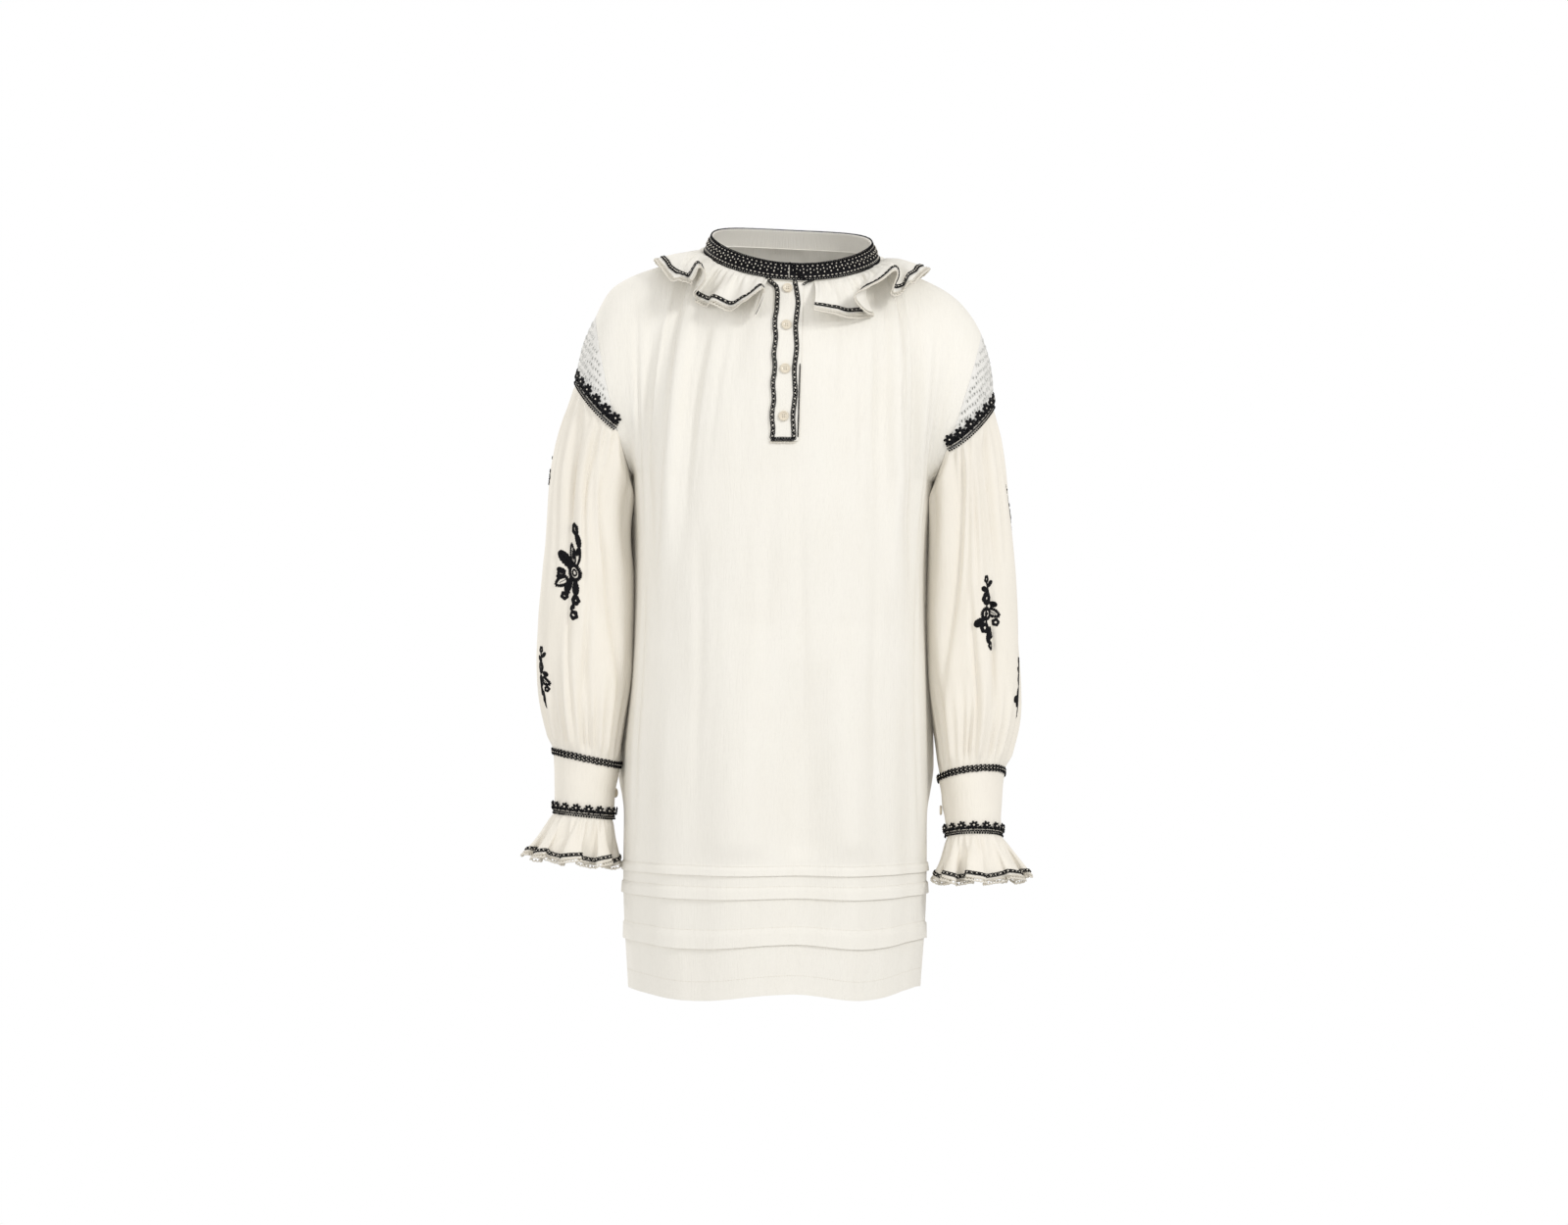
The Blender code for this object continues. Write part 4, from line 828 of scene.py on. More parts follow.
def repeat_tree():
    """Geometry Nodes: an item at each point, turned and sized by the point's own attributes."""
    tree = bpy.data.node_groups.new("repeat", "GeometryNodeTree")
    sockets = (
        ("Places", "NodeSocketGeometry"), ("Item", "NodeSocketObject"), ("Size", "NodeSocketFloat"),
        ("Unevenness", "NodeSocketFloat"), ("Seed", "NodeSocketInt"), ("Finish", "NodeSocketMaterial"),
    )
    for name, kind in sockets:
        tree.interface.new_socket(name, in_out="INPUT", socket_type=kind)
    tree.interface.new_socket("Mesh", in_out="OUTPUT", socket_type="NodeSocketGeometry")
    start = add_node(tree, "NodeGroupInput").outputs

    def attribute(name):
        node = add_node(tree, "GeometryNodeInputNamedAttribute", {"Name": name}, data_type="FLOAT_VECTOR")
        return node.outputs["Attribute"]

    axes = {"Primary Axis": attribute("along"), "Secondary Axis": attribute("outward")}
    turn = add_node(tree, "FunctionNodeAxesToRotation", (), axes, primary_axis="X", secondary_axis="Z")
    limits = {}
    for place, operation in ((2, "SUBTRACT"), (3, "ADD")):
        terms = {0: start["Size"], 1: start["Unevenness"]}
        limits[place] = add_node(tree, "ShaderNodeMath", (), terms, operation=operation).outputs[0]
    limits["Seed"] = start["Seed"]
    chance = add_node(tree, "FunctionNodeRandomValue", (), limits, data_type="FLOAT")
    sizes = {0: attribute("size"), "Scale": chance.outputs[1]}
    scale = add_node(tree, "ShaderNodeVectorMath", (), sizes, operation="SCALE")
    shape = add_node(tree, "GeometryNodeObjectInfo", (), {"Object": start["Item"]})
    stand = add_node(tree, "GeometryNodeInstanceOnPoints", (), {
        "Points": start["Places"], "Instance": shape.outputs["Geometry"],
        "Rotation": turn.outputs["Rotation"], "Scale": scale.outputs[0],
    })
    real = add_node(tree, "GeometryNodeRealizeInstances", (), {"Geometry": stand.outputs["Instances"]})
    finish = {"Geometry": real.outputs["Geometry"], "Material": start["Finish"]}
    colour = add_node(tree, "GeometryNodeSetMaterial", (), finish)
    add_node(tree, "NodeGroupOutput", (), {"Mesh": colour.outputs["Geometry"]})
    return tree


def repeat(name, shape, places, material, unevenness=0.08, seed=1):
    """One mesh with the shape at each place."""
    spot, along, outward, size = places
    carrier = bpy.data.meshes.new(name + "_places")
    carrier.vertices.add(len(spot))
    carrier.vertices.foreach_set("co", np.asarray(spot, np.float32).ravel())
    for word, field in (("along", along), ("outward", outward), ("size", size)):
        data = carrier.attributes.new(word, "FLOAT_VECTOR", "POINT").data
        data.foreach_set("vector", np.ascontiguousarray(field, np.float32).ravel())
    holder = add_object(name + "_holder", carrier)
    modifier = holder.modifiers.new("repeat", "NODES")
    modifier.node_group = REPEAT
    known = {s.name: s.identifier for s in REPEAT.interface.items_tree if s.in_out == "INPUT"}
    settings = {"Item": shape, "Size": 1.0, "Unevenness": unevenness, "Seed": seed, "Finish": material}
    for word, setting in settings.items():
        modifier[known[word]] = setting
    evaluated = holder.evaluated_get(bpy.context.evaluated_depsgraph_get())
    mesh = bpy.data.meshes.new_from_object(evaluated)
    mesh.name = name
    mesh.shade_smooth()
    bpy.data.objects.remove(holder, do_unlink=True)
    return add_object(name, mesh)


# Materials


def new_material(name):
    """A material, its tree and its surface."""
    material = bpy.data.materials.new(name)
    material.use_nodes = True
    tree = material.node_tree
    return material, tree, tree.nodes["Principled BSDF"]


def noise(tree, coordinates, scale, stretch=(1, 1, 1), detail=3.0):
    """A noise on stretched coordinates."""
    mapping = add_node(tree, "ShaderNodeMapping", {"Scale": stretch}, {"Vector": coordinates})
    values = {"Scale": scale, "Detail": detail}
    return add_node(tree, "ShaderNodeTexNoise", values, {"Vector": mapping.outputs[0]}).outputs["Fac"]


def wave(tree, coordinates, scale, direction):
    """Even threads in one direction."""
    values = {"Scale": scale, "Distortion": 1.2, "Detail": 2.0}
    texture = add_node(tree, "ShaderNodeTexWave", values, {"Vector": coordinates}, bands_direction=direction)
    return texture.outputs["Fac"]


def mixed(tree, one, two, share):
    """A colour between two."""
    values = {"A": (*one, 1), "B": (*two, 1)}
    return add_node(tree, "ShaderNodeMix", values, {"Factor": share}, data_type="RGBA").outputs["Result"]


def bump(tree, heights):
    """Bumps one over the other. heights holds (texture, distance) pairs."""
    sources = {}
    for texture, distance in heights:
        sources["Height"] = texture
        node = add_node(tree, "ShaderNodeBump", {"Distance": distance, "Strength": 1.0}, sources)
        sources["Normal"] = node.outputs["Normal"]
    return sources["Normal"]


def gauze(name, pale, deep):
    """Crinkled cotton gauze: upright crinkles, a plain weave and slubs, on the flat cloth in metres."""
    material, tree, surface = new_material(name)
    place = add_node(tree, "ShaderNodeUVMap", uv_map="flat").outputs["UV"]
    crinkle = noise(tree, place, 1.0, (520.0, 42.0, 1.0), 4.0)
    slub = noise(tree, place, 1.0, (160.0, 900.0, 1.0), 2.0)
    warp, weft = wave(tree, place, 260.0, "X"), wave(tree, place, 260.0, "Y")
    patches = noise(tree, place, 1.0, (30.0, 14.0, 1.0), 3.0)
    tree.links.new(mixed(tree, deep, pale, patches), surface.inputs["Base Color"])
    heights = ((warp, 0.00006), (weft, 0.00006), (slub, 0.00008), (crinkle, 0.00060))
    tree.links.new(bump(tree, heights), surface.inputs["Normal"])
    surface.inputs["Roughness"].default_value = 0.88
    surface.inputs["Sheen Weight"].default_value = 0.22
    surface.inputs["Sheen Roughness"].default_value = 0.45
    surface.inputs["Sheen Tint"].default_value = (1.0, 0.96, 0.88, 1)
    surface.inputs["Specular IOR Level"].default_value = 0.25
    return material


def thread(name, pale, deep, roughness, sheen):
    """Twisted embroidery thread."""
    material, tree, surface = new_material(name)
    place = tree.nodes.new("ShaderNodeTexCoord").outputs["Object"]
    twist = noise(tree, place, 2600.0, (1, 1, 0.5), 2.0)
    tone = noise(tree, place, 420.0)
    tree.links.new(mixed(tree, deep, pale, tone), surface.inputs["Base Color"])
    tree.links.new(bump(tree, ((twist, 0.00012),)), surface.inputs["Normal"])
    surface.inputs["Roughness"].default_value = roughness
    surface.inputs["Sheen Weight"].default_value = sheen
    surface.inputs["Specular IOR Level"].default_value = 0.15
    return material


def shell_material():
    """Pale, milky shell."""
    material, tree, surface = new_material("shell_buttons")
    place = tree.nodes.new("ShaderNodeTexCoord").outputs["Object"]
    cloud = noise(tree, place, 190.0, (1, 1, 0.4), 4.0)
    tree.links.new(mixed(tree, (0.66, 0.58, 0.45), (0.84, 0.78, 0.66), cloud), surface.inputs["Base Color"])
    tree.links.new(bump(tree, ((cloud, 0.00008),)), surface.inputs["Normal"])
    surface.inputs["Roughness"].default_value = 0.28
    surface.inputs["Coat Weight"].default_value = 0.5
    surface.inputs["Coat Roughness"].default_value = 0.12
    return material


# Surfaces of the garment


def neck_ring(degrees, grow=0.0, up=0.0):
    """Points of the neck ring, grown sideways and raised. 0 is the front and 90 the viewer's right."""
    a = np.radians(np.asarray(degrees, float))
    c, s = np.cos(a), np.sin(a)
    reach = np.where(c > 0, NECK_FRONT_REACH, NECK_BACK_REACH) + grow
    side = (NECK_HALF_WIDTH + grow) * s
    height = -(NECK_FRONT_DROP + NECK_BACK_RISE) / 2 * c - (NECK_FRONT_DROP - NECK_BACK_RISE) / 2 * c * c
    return np.stack([NECK_X + side, NECK_Y - reach * c, height + NECK_ROLL * side + up], axis=-1)


def neck_outward(degrees):
    """Level directions square to the neck ring."""
    a = np.radians(np.asarray(degrees, float))
    reach = np.where(np.cos(a) > 0, NECK_FRONT_REACH, NECK_BACK_REACH)
    return unit(np.stack([np.sin(a) / NECK_HALF_WIDTH, -np.cos(a) / reach, np.zeros(a.shape)], axis=-1))


def armhole(side, degrees):
    """Points of the armhole seam, an even oval."""
    centre, up, front = (np.array(v) for v in ARMHOLE[side][:3])
    a = np.radians(np.asarray(degrees, float))[..., None]
    return centre + np.cos(a) * up + np.sin(a) * front


def armhole_outward(side, degrees):
    """Directions square to the arm and to the armhole seam."""
    up, front = (np.array(v) for v in ARMHOLE[side][1:3])
    a = np.radians(np.asarray(degrees, float))[..., None]
    along = np.cos(a) * front - np.sin(a) * up
    return side * unit(np.cross(along, np.array(ARM_DIRECTION[side])))


def top_edge(s, back=False):
    """The panel's top edge: the neck in the middle and a shoulder seam at each end."""
    s = np.asarray(s, float)
    turn = np.clip(s / NECK_SHARE, -1, 1) * 90.0
    points = neck_ring(180.0 - turn if back else turn)
    for side in (LEFT, RIGHT):
        u = np.clip((side * s - NECK_SHARE) / (1 - NECK_SHARE), 0, 1)[..., None]
        start, end = neck_ring(side * 90.0), armhole(side, 0.0)
        round_drop, power = ARMHOLE[side][4:6]
        seam = start + (end - start) * u
        fall = (1 - round_drop) * u + round_drop * u**power
        seam[..., 2] = start[2] + (end[2] - start[2]) * fall[..., 0]
        points = np.where(side * s[..., None] > NECK_SHARE, seam, points)
    return points


def body_section(s, height, back=False):
    """Points across the panel at each height, from the left side seam, s -1, to the right, s 1."""
    table = np.array(BODY)
    rows = smooth_through(-table[:, 0], table[:, 1:], -np.asarray(height, float))
    left, right, front, rear = (rows[..., i] for i in range(4))
    turn = np.radians(90.0 * np.asarray(s, float))
    sideways = np.sign(turn) * np.abs(np.sin(turn)) ** (2 / BODY_BULGE)
    forward = np.abs(np.cos(turn)) ** (2 / BODY_BULGE)
    x = (left + right) / 2 + (right - left) / 2 * sideways
    y = rear * forward if back else -front * forward
    fade = np.clip((height - HEM) / (UNDERARM - HEM), 0, 1)
    return np.stack([x, y, height + UNDERARM_ROLL * fade * x], axis=-1)


def shoulder_part(s, t, back=False):
    """The panel from its top edge, t 0, to the underarm line, t 1."""
    s, t = np.broadcast_arrays(np.asarray(s, float), np.asarray(t, float))
    top = top_edge(s, back)
    low = body_section(s, np.full(s.shape, UNDERARM), back)
    way = 1.0 if back else -1.0
    size = np.abs(s)
    table = np.array(BACK_LEAVES if back else FRONT_LEAVES)
    leave = smooth_through(table[:, 0], table[:, 1:], size) * np.array([1.0, way, -1.0])
    leave[..., 0] *= np.sign(s)
    reach = TOP_HANDLE + TOP_HANDLE_AT_SHOULDER * ease(size / NECK_SHARE)
    near_edge = size**4
    forward = BACK_HANDLE if back else FRONT_HANDLE
    arrive = np.stack([0.0 * s, way * forward * near_edge, LOW_HANDLE * (1 - near_edge)], axis=-1)
    ends = (top, top + unit(leave) * reach[..., None], low + arrive, low)
    t3 = t[..., None]
    shares = ((1 - t3) ** 3, 3 * (1 - t3) ** 2 * t3, 3 * (1 - t3) * t3**2, t3**3)
    points = sum(share * end for share, end in zip(shares, ends))
    for side in (LEFT, RIGHT):
        first, last = armhole(side, 0.0), armhole(side, 180.0)
        one = first + unit(np.array([0.0, way, SHOULDER_FALL])) * ARMHOLE_HANDLE
        two = last + np.array([0.0, way * forward, 0.0])
        plain = sum(share * end for share, end in zip(shares, (first, one, two, last)))
        seam = armhole(side, 180.0 * t * -way)
        points = points + np.clip(side * s, 0, 1)[..., None] ** 6 * (seam - plain)
    return points


def ring(side, row, degrees):
    """Points of one ring of a sleeve: 0 is the outer side, 90 the front, 180 the side towards the body."""
    x, y, z, half_width, half_depth, rise, front_rise = row
    a = np.radians(np.asarray(degrees, float))
    return np.stack(
        [x + side * half_width * np.cos(a), y - half_depth * np.sin(a),
         z + rise * np.cos(a) + front_rise * np.sin(a)],
        axis=-1,
    )


def lace_width(side, degrees):
    """The depth of the lace cap below the armhole seam."""
    deep = ARMHOLE[side][3]
    a = np.radians(np.abs(np.asarray(degrees, float))) * 90.0 / LACE_TIP[side]
    width = LACE_LEAST + (deep - LACE_LEAST) * np.cos(np.minimum(a, np.pi / 2))
    return np.where(np.abs(degrees) > LACE_TIP[side] + 0.01, 0.0, width)


def lace_surface(side, degrees, v):
    """The lace cap: v 0 at the armhole seam and 1 at the sleeve's seam."""
    degrees, v = np.broadcast_arrays(np.asarray(degrees, float), np.asarray(v, float))
    width = lace_width(side, degrees)[..., None]
    bulge = LACE_BULGE * np.sin(np.pi * v)[..., None] * width / ARMHOLE[side][3]
    down = np.array(ARM_DIRECTION[side])
    return armhole(side, degrees) + down * width * v[..., None] + armhole_outward(side, degrees) * bulge


def sleeve_surface(side, degrees, v):
    """Rows of points of the sleeve with no folds: v 0 at its upper seam and 1 at the cuff."""
    start = armhole(side, degrees) + np.array(ARM_DIRECTION[side]) * lace_width(side, degrees)[..., None]
    start[..., 0] += side * 0.0009 * ease((np.abs(degrees) - 120.0) / 50.0)
    keys = [start]
    keys += [ring(side, row, degrees) for row in SLEEVE_RINGS[side]]
    keys.append(ring(side, CUFF_RINGS[side][0], degrees))
    return smooth_through(SLEEVE_PLACES, np.array(keys), v)


def cuff_outward(side, degrees):
    """Level directions out of the cuff."""
    a = np.radians(np.asarray(degrees, float))
    return np.stack([side * np.cos(a), -np.sin(a), np.zeros(a.shape)], axis=-1)


def cuff_surface(side, degrees, v):
    """The cuff: v 0 at its top and 1 at its foot. degrees may pass a full turn, where the lap steps out."""
    top = ring(side, CUFF_RINGS[side][0], degrees)
    foot = ring(side, CUFF_RINGS[side][1], degrees)
    past = ease((np.asarray(degrees, float) - CUFF_EDGE[side] - LAP_RISE_START) / LAP_RISE_SPAN)[..., None]
    step = cuff_outward(side, degrees) * LAP_STEP * past
    return top + (foot - top) * np.asarray(v, float)[..., None] + step


def frill_surface(side, degrees, v):
    """The cuff's frill with its waves: v 0 at the cuff and 1 at its edge."""
    degrees, v = np.broadcast_arrays(np.asarray(degrees, float), np.asarray(v, float))
    start = ring(side, CUFF_RINGS[side][1], degrees)
    start[..., 2] -= SEAM * 1.5
    edge = ring(side, FRILL_RINGS[side], degrees)
    a = np.radians(degrees)
    phase = FRILL_WAVES * a + 0.7 * np.sin(2 * a + side) + 0.5 * np.sin(3 * a)
    swing = np.sin(2 * phase) * FRILL_SWING * FRILL_RINGS[side][3] / FRILL_WAVES
    tangent = np.stack([-side * np.sin(a), -np.cos(a), np.zeros(a.shape)], axis=-1)
    open_out = v[..., None] ** 0.8
    wave_out = FRILL_WAVE * (1 + 0.3 * np.sin(3 * a + 2)) * np.cos(phase) * v**1.1
    sway = tangent * (swing * v)[..., None]
    sway[..., 2] += FRILL_DIP * np.sin(phase + 0.6) * v**1.5
    return start + (edge - start) * open_out + cuff_outward(side, degrees) * wave_out[..., None] + sway


def fold_field(folds, s, height):
    """How far soft folds push the cloth out at each place."""
    total = np.zeros(np.broadcast(s, height).shape)
    for top, low, start, end, width, depth in folds:
        along = (height - start) / (end - start)
        centre = top + (low - top) * np.clip(along, 0, 1)
        swell = np.sin(np.pi * np.clip(along, 0, 1) ** 0.8) ** 1.2
        total = total + depth * swell * np.exp(-(((s - centre) / width) ** 2))
    return total


def angle_fold_field(folds, degrees, v):
    """How far a sleeve's long folds push the cloth out."""
    total = np.zeros(np.broadcast(degrees, v).shape)
    for top, low, start, end, width, depth in folds:
        along = np.clip((v - start) / (end - start), 0, 1)
        centre = top + (low - top) * along
        off = (degrees - centre + 180.0) % 360.0 - 180.0
        total = total + depth * np.sin(np.pi * along) * np.exp(-((off / width) ** 2))
    return total


# Front and back


def body_rows(above, below):
    """Rows of a panel: share of the way to the underarm, height, and how far the cloth stands out there."""
    rows = [(t, UNDERARM * t, 0.0) for t in np.linspace(0, 1, above)]
    rows += [(1.0, height, 0.0) for height in np.linspace(UNDERARM, TUCKS[0][0] + 0.004, below)[1:]]
    for number, (sewn, edge, stand) in enumerate(TUCKS):
        rows.append((1.0, sewn, 0.0))
        for share in (0.12, 0.4, 0.7, 0.93):
            rows.append((1.0, sewn + (edge - sewn) * share, stand * (0.55 + 0.45 * share)))
        rows += [(1.0, edge, stand), (1.0, edge + 0.0005, stand * 0.62), (1.0, edge + TUCK_UNDER, 0.0003)]
        after = TUCKS[number + 1][0] if number + 1 < len(TUCKS) else HEM + 0.006
        count = max(int((edge - after) / 0.004), 2)
        rows += [(1.0, height, 0.0) for height in np.linspace(edge - 0.0012, after + 0.002, count)]
    rows += [(1.0, HEM + 0.004, 0.0002), (1.0, HEM, 0.0)]
    return np.array(rows)


def beside_the_arms(points):
    """The body's cloth bellies out behind each arm, so that no gap shows between the two from the front."""
    x, y, z = (points[..., i] for i in range(3))
    high = ease((BELLY_TOP - z) / BELLY_TOP_FADE) * ease((z - BELLY_FOOT) / BELLY_FOOT_FADE)
    wide = ease((np.abs(x) - BELLY_START) / BELLY_SPREAD)
    deep = np.exp(-(((y - BELLY_MIDDLE) / BELLY_DEPTH) ** 2))
    moved = points.copy()
    moved[..., 0] += np.sign(x) * SIDE_BELLY * high * wide * deep
    return moved


def panel(back, columns, above, below, folds, creases, seed):
    """The front or the back with its folds, creases, gathers and tucks, as cloth."""
    rows = body_rows(above, below)
    s = np.linspace(-1, 1, columns)
    made = []
    for t, height in rows[:, :2]:
        if t < 1:
            made.append(shoulder_part(s, np.full(s.shape, t), back))
        else:
            made.append(body_section(s, np.full(s.shape, height), back))
    way = 1.0 if back else -1.0
    cloth = Cloth(beside_the_arms(np.array(made)), out=np.array([0.0, way, 0.0]))
    heights = rows[:, 1:2]
    u, v = cloth.u, cloth.v
    push = FOLD_GAIN * fold_field(folds, s[None, :], heights)
    push = push + CREASE_GAIN * fold_field(creases, s[None, :], heights)
    waves = uneven(s / NECK_SHARE, seed, 0.035)
    below_neck = np.clip(-heights / GATHER_LENGTH, 0, 1)
    gathers = GATHER_DEPTH * np.cos(np.pi * GATHERS * waves) * (np.abs(s) < NECK_SHARE)
    push = push + gathers * np.sin(np.pi * below_neck**0.5) * (1 - 0.5 * below_neck)
    for number, (depth, wide, long) in enumerate(PANEL_RUMPLES, 1):
        push = push + depth * rumple(u, v, wide, long, seed + number)
    near_tucks = ease((heights + 0.66) / -0.03)
    push = push * (1 - 0.35 * near_tucks)
    lift = smooth_through(*np.array(HEM_WAVES).T, s)
    if back:
        lift = np.where(s < 0, lift[0], lift[-1]) * ease((np.abs(s) - 0.6) / 0.4)
    cloth.points[..., 2] += lift * ease((HEM + HEM_WAVE_REACH - heights) / HEM_WAVE_REACH)
    if not back:
        x = cloth.points[..., 0] - PLACKET_LEAN * (heights - (PLACKET_TOP + PLACKET_END) / 2)
        beside = np.exp(-((x - PLACKET_X) / 0.0245) ** 6) * ease((heights - PLACKET_END + 0.03) / 0.03)
        push = push * (1 - beside)
    push = push * ease((1 - np.abs(s)) / 0.08) * ease(-heights / 0.012)
    stand = rows[:, 2:3] * (1 + 0.25 * rumple(u, v, 0.03, 0.5, seed + 4))
    away = cloth.points * np.array([1.0, 1.0, 0.0])
    inward = ((cloth.outward * away).sum(-1) < 0) & (rows[:, 0:1] >= 1)
    direction = np.where(inward[..., None], -cloth.outward, cloth.outward)
    cloth.set(cloth.points + direction * (push + stand)[..., None])
    cloth.points[..., 1] += way * SEAM / 2
    cloth.points[0, :, 2] -= SEAM / 2
    return cloth, rows


def panel_stitches(cloth, rows):
    """Running stitches along the sewn line of each tuck and above the hem."""
    last = cloth.points.shape[1] - 1
    groups = []
    for height in (*(tuck[0] for tuck in TUCKS), HEM + HEM_STITCHES_UP):
        row = float(np.argmin(np.abs(rows[:, 1] - height) + 10.0 * (rows[:, 0] < 1)))
        groups.append(cloth.row_of("tuck", row - 0.3, (1.0, last - 1.0), 0.00002))
    return together(*groups)


# Neck


def tree_of(*things):
    """The faces of objects, ready to be searched."""
    points, faces = [], []
    for thing in things:
        first = len(points)
        points += [vertex.co.copy() for vertex in thing.data.vertices]
        faces += [[first + corner for corner in face.vertices] for face in thing.data.polygons]
    return BVHTree.FromPolygons(points, faces)


def neck_slopes(walls):
    """The panels' outer surface round the neck, by angle and by distance along it from the ring."""
    tree = tree_of(*walls)
    angles = np.arange(0.0, 361.0, NECK_PROFILE_STEP)
    spots = np.linspace(0, NECK_PROFILE_REACH, NECK_PROFILE_SPOTS)
    slopes = np.zeros((len(angles), NECK_PROFILE_POINTS, 3))
    for i, angle in enumerate(angles):
        start, out = neck_ring(angle), neck_outward(angle)
        first = NECK_FRILL_START - NECK_FRILL_FRONT_START * max(math.cos(math.radians(angle)), 0.0) ** 0.7
        for k, distance in enumerate(np.linspace(first, NECK_PROFILE_REACH, NECK_PROFILE_POINTS)):
            x, y = (start + out * distance)[:2]
            hit = tree.ray_cast(Vector((x, y, 0.3)), Vector((0, 0, -1)))[0]
            slopes[i, k] = (x, y, hit.z if hit else slopes[i, k - 1, 2])
    near = np.stack([np.roll(slopes[:-1, :, 2], turn, axis=0) for turn in (-1, 0, 1)])
    slopes[:-1, :, 2] = near.max(axis=0) * 0.5 + near.mean(axis=0) * 0.5
    slopes[-1] = slopes[0]
    return np.array([read_line(spots, lengths(line), line) for line in slopes])


def read_slopes(slopes, degrees, length):
    """Places on the panels at an angle round the neck and a length down from the ring."""
    step = NECK_PROFILE_REACH / (slopes.shape[1] - 1)
    i = np.clip((degrees // NECK_PROFILE_STEP).astype(int), 0, len(slopes) - 2)
    p = (degrees / NECK_PROFILE_STEP - i)[..., None]
    at = np.clip(length / step, 0, slopes.shape[1] - 1.001)
    j = at.astype(int)
    q = (at - j)[..., None]
    near = slopes[i, j] * (1 - q) + slopes[i, j + 1] * q
    far = slopes[i + 1, j] * (1 - q) + slopes[i + 1, j + 1] * q
    return near * (1 - p) + far * p


def draped(slopes, degrees, v, swing, stand):
    """The frill's points on its panels, swung sideways and stood off, and the directions out of it."""
    here = np.clip(degrees + swing * v**1.3, 0.0, 360.0)
    reach = np.sqrt(np.maximum(NECK_FRILL_LENGTH**2 - stand**2, (0.3 * NECK_FRILL_LENGTH) ** 2))
    at = reach * v
    run = unit(read_slopes(slopes, here, at + 0.006) - read_slopes(slopes, here, np.maximum(at - 0.006, 0)))
    across = np.cross(np.array([0.0, 0.0, 1.0]), neck_outward(here))
    square = unit(np.cross(run, across))
    square = square * np.sign(square[..., 2:])
    clear = GAUZE + SEAM * 2 + NECK_FRILL_CLEAR * ease(v / 0.14)
    return read_slopes(slopes, here, at) + square * (clear + stand * v**1.25)[..., None], square


def neck_frill(slopes, columns=610, rows=24):
    """The falling frill, draped over the panels, with its waves and its fine gathers at the band."""
    table = np.array(NECK_FRILL)
    degrees, v = np.meshgrid(np.linspace(table[0, 0], table[-1, 0], columns), np.linspace(0, 1, rows))
    keys = smooth_through(table[:, 0], table[:, 1:], degrees)
    points, square = draped(slopes, degrees, v, keys[..., 0], np.maximum(keys[..., 1], 0.0))
    cloth = Cloth(points, out=square)
    phase = uneven(degrees / 4.3, 31, 0.30)
    gathers = 0.0011 * np.cos(2 * np.pi * phase) * np.exp(-((v - 0.10) / 0.34) ** 2) * ease(v / 0.06)
    soft = 0.0012 * np.cos(np.pi * phase * 0.93 + 1.0) * np.exp(-((v - 0.35) / 0.35) ** 2) * ease(v / 0.1)
    cloth.push(gathers + soft + 0.0003 * rumple(cloth.u, cloth.v, 0.006, 0.03, 33))
    return cloth


def edge_pieces(name, cloth, chain, edge_length):
    """A frill's black chain line, its second thread, and the cream picot loops along its edge."""
    rows, columns = cloth.points.shape[:2]
    last = rows - 1
    ends = (0.0, columns if cloth.closed else columns - 1.0)
    up = last * (1 - chain / edge_length)
    chains = []
    for shift in (-CHAIN_HALF_GAP, CHAIN_HALF_GAP):
        row = up + last * shift / edge_length
        chains.append(cloth.row_of("frill_chain", row, ends, 0.0003, EDGE_STEPS))
    pitch = STITCH["frill_picot"][0]
    edge, inner = (cloth.line((row, row), ends, pitch, -0.0004, EDGE_STEPS) for row in (last, last - 1.0))
    count = min(len(edge[0]), len(inner[0]))
    spot, along, out, inside = (part[:count] for part in (*edge, inner[0]))
    away = unit(spot - inside)
    flip = np.sign((np.cross(out, along) * away).sum(-1, keepdims=True))
    loops = sized((spot, along * flip, out), "frill_picot")
    border = sized((spot - away * 0.0016, along, out), "frill_border")
    specks = cloth.row_of("frill_speck", up, ends, 0.0011, EDGE_STEPS)
    return (
        repeat(name + "_chain", LINK, together(*chains), BLACK, seed=3),
        repeat(name + "_specks", KNOT, specks, CREAM_THREAD, 0.15, 6),
        repeat(name + "_picot", PICOT, loops, CREAM_THREAD, seed=4),
        repeat(name + "_border", LINK, border, CREAM_THREAD, seed=5),
    )


def band_cloth(low, high, lift, columns=241, rows=9):
    """A strip of the neck band between two shares of its height, lifted off it."""
    degrees = np.linspace(BAND_SPLIT + BAND_OPENING / 2, 360.0 + BAND_SPLIT - BAND_OPENING / 2, columns)
    made = []
    for share in np.linspace(high, low, rows):
        grow = BAND_STANDS_OUT * (1 - share) - BAND_LEAN * share
        belly = 0.0006 * math.sin(math.pi * share)
        made.append(neck_ring(degrees, grow=grow + lift + belly, up=SEAM * 1.5 + BAND_HEIGHT * share))
    return Cloth(np.array(made), out=neck_outward(degrees)[None])


# Drawings in thread. Columns: x, y, angle, length, width


def run(points, pitch=0.0019, width=0.0019):
    """Stitches end to end along a smooth curve through a few points."""
    points = np.asarray(points, float) * MM
    fine = smooth_through(np.linspace(0, 1, len(points)), points, np.linspace(0, 1, 160))
    length = lengths(fine)
    count = max(int(length[-1] / pitch), 1)
    at = (np.arange(count) + 0.5) / count * length[-1]
    spot, ahead, behind = (read_line(at + shift, length, fine) for shift in (0.0, pitch / 2, -pitch / 2))
    across, down = (ahead - behind).T
    size = np.broadcast_to([pitch * 1.45, width], spot.shape)
    return np.concatenate([spot, np.arctan2(down, across)[:, None], size], axis=-1)


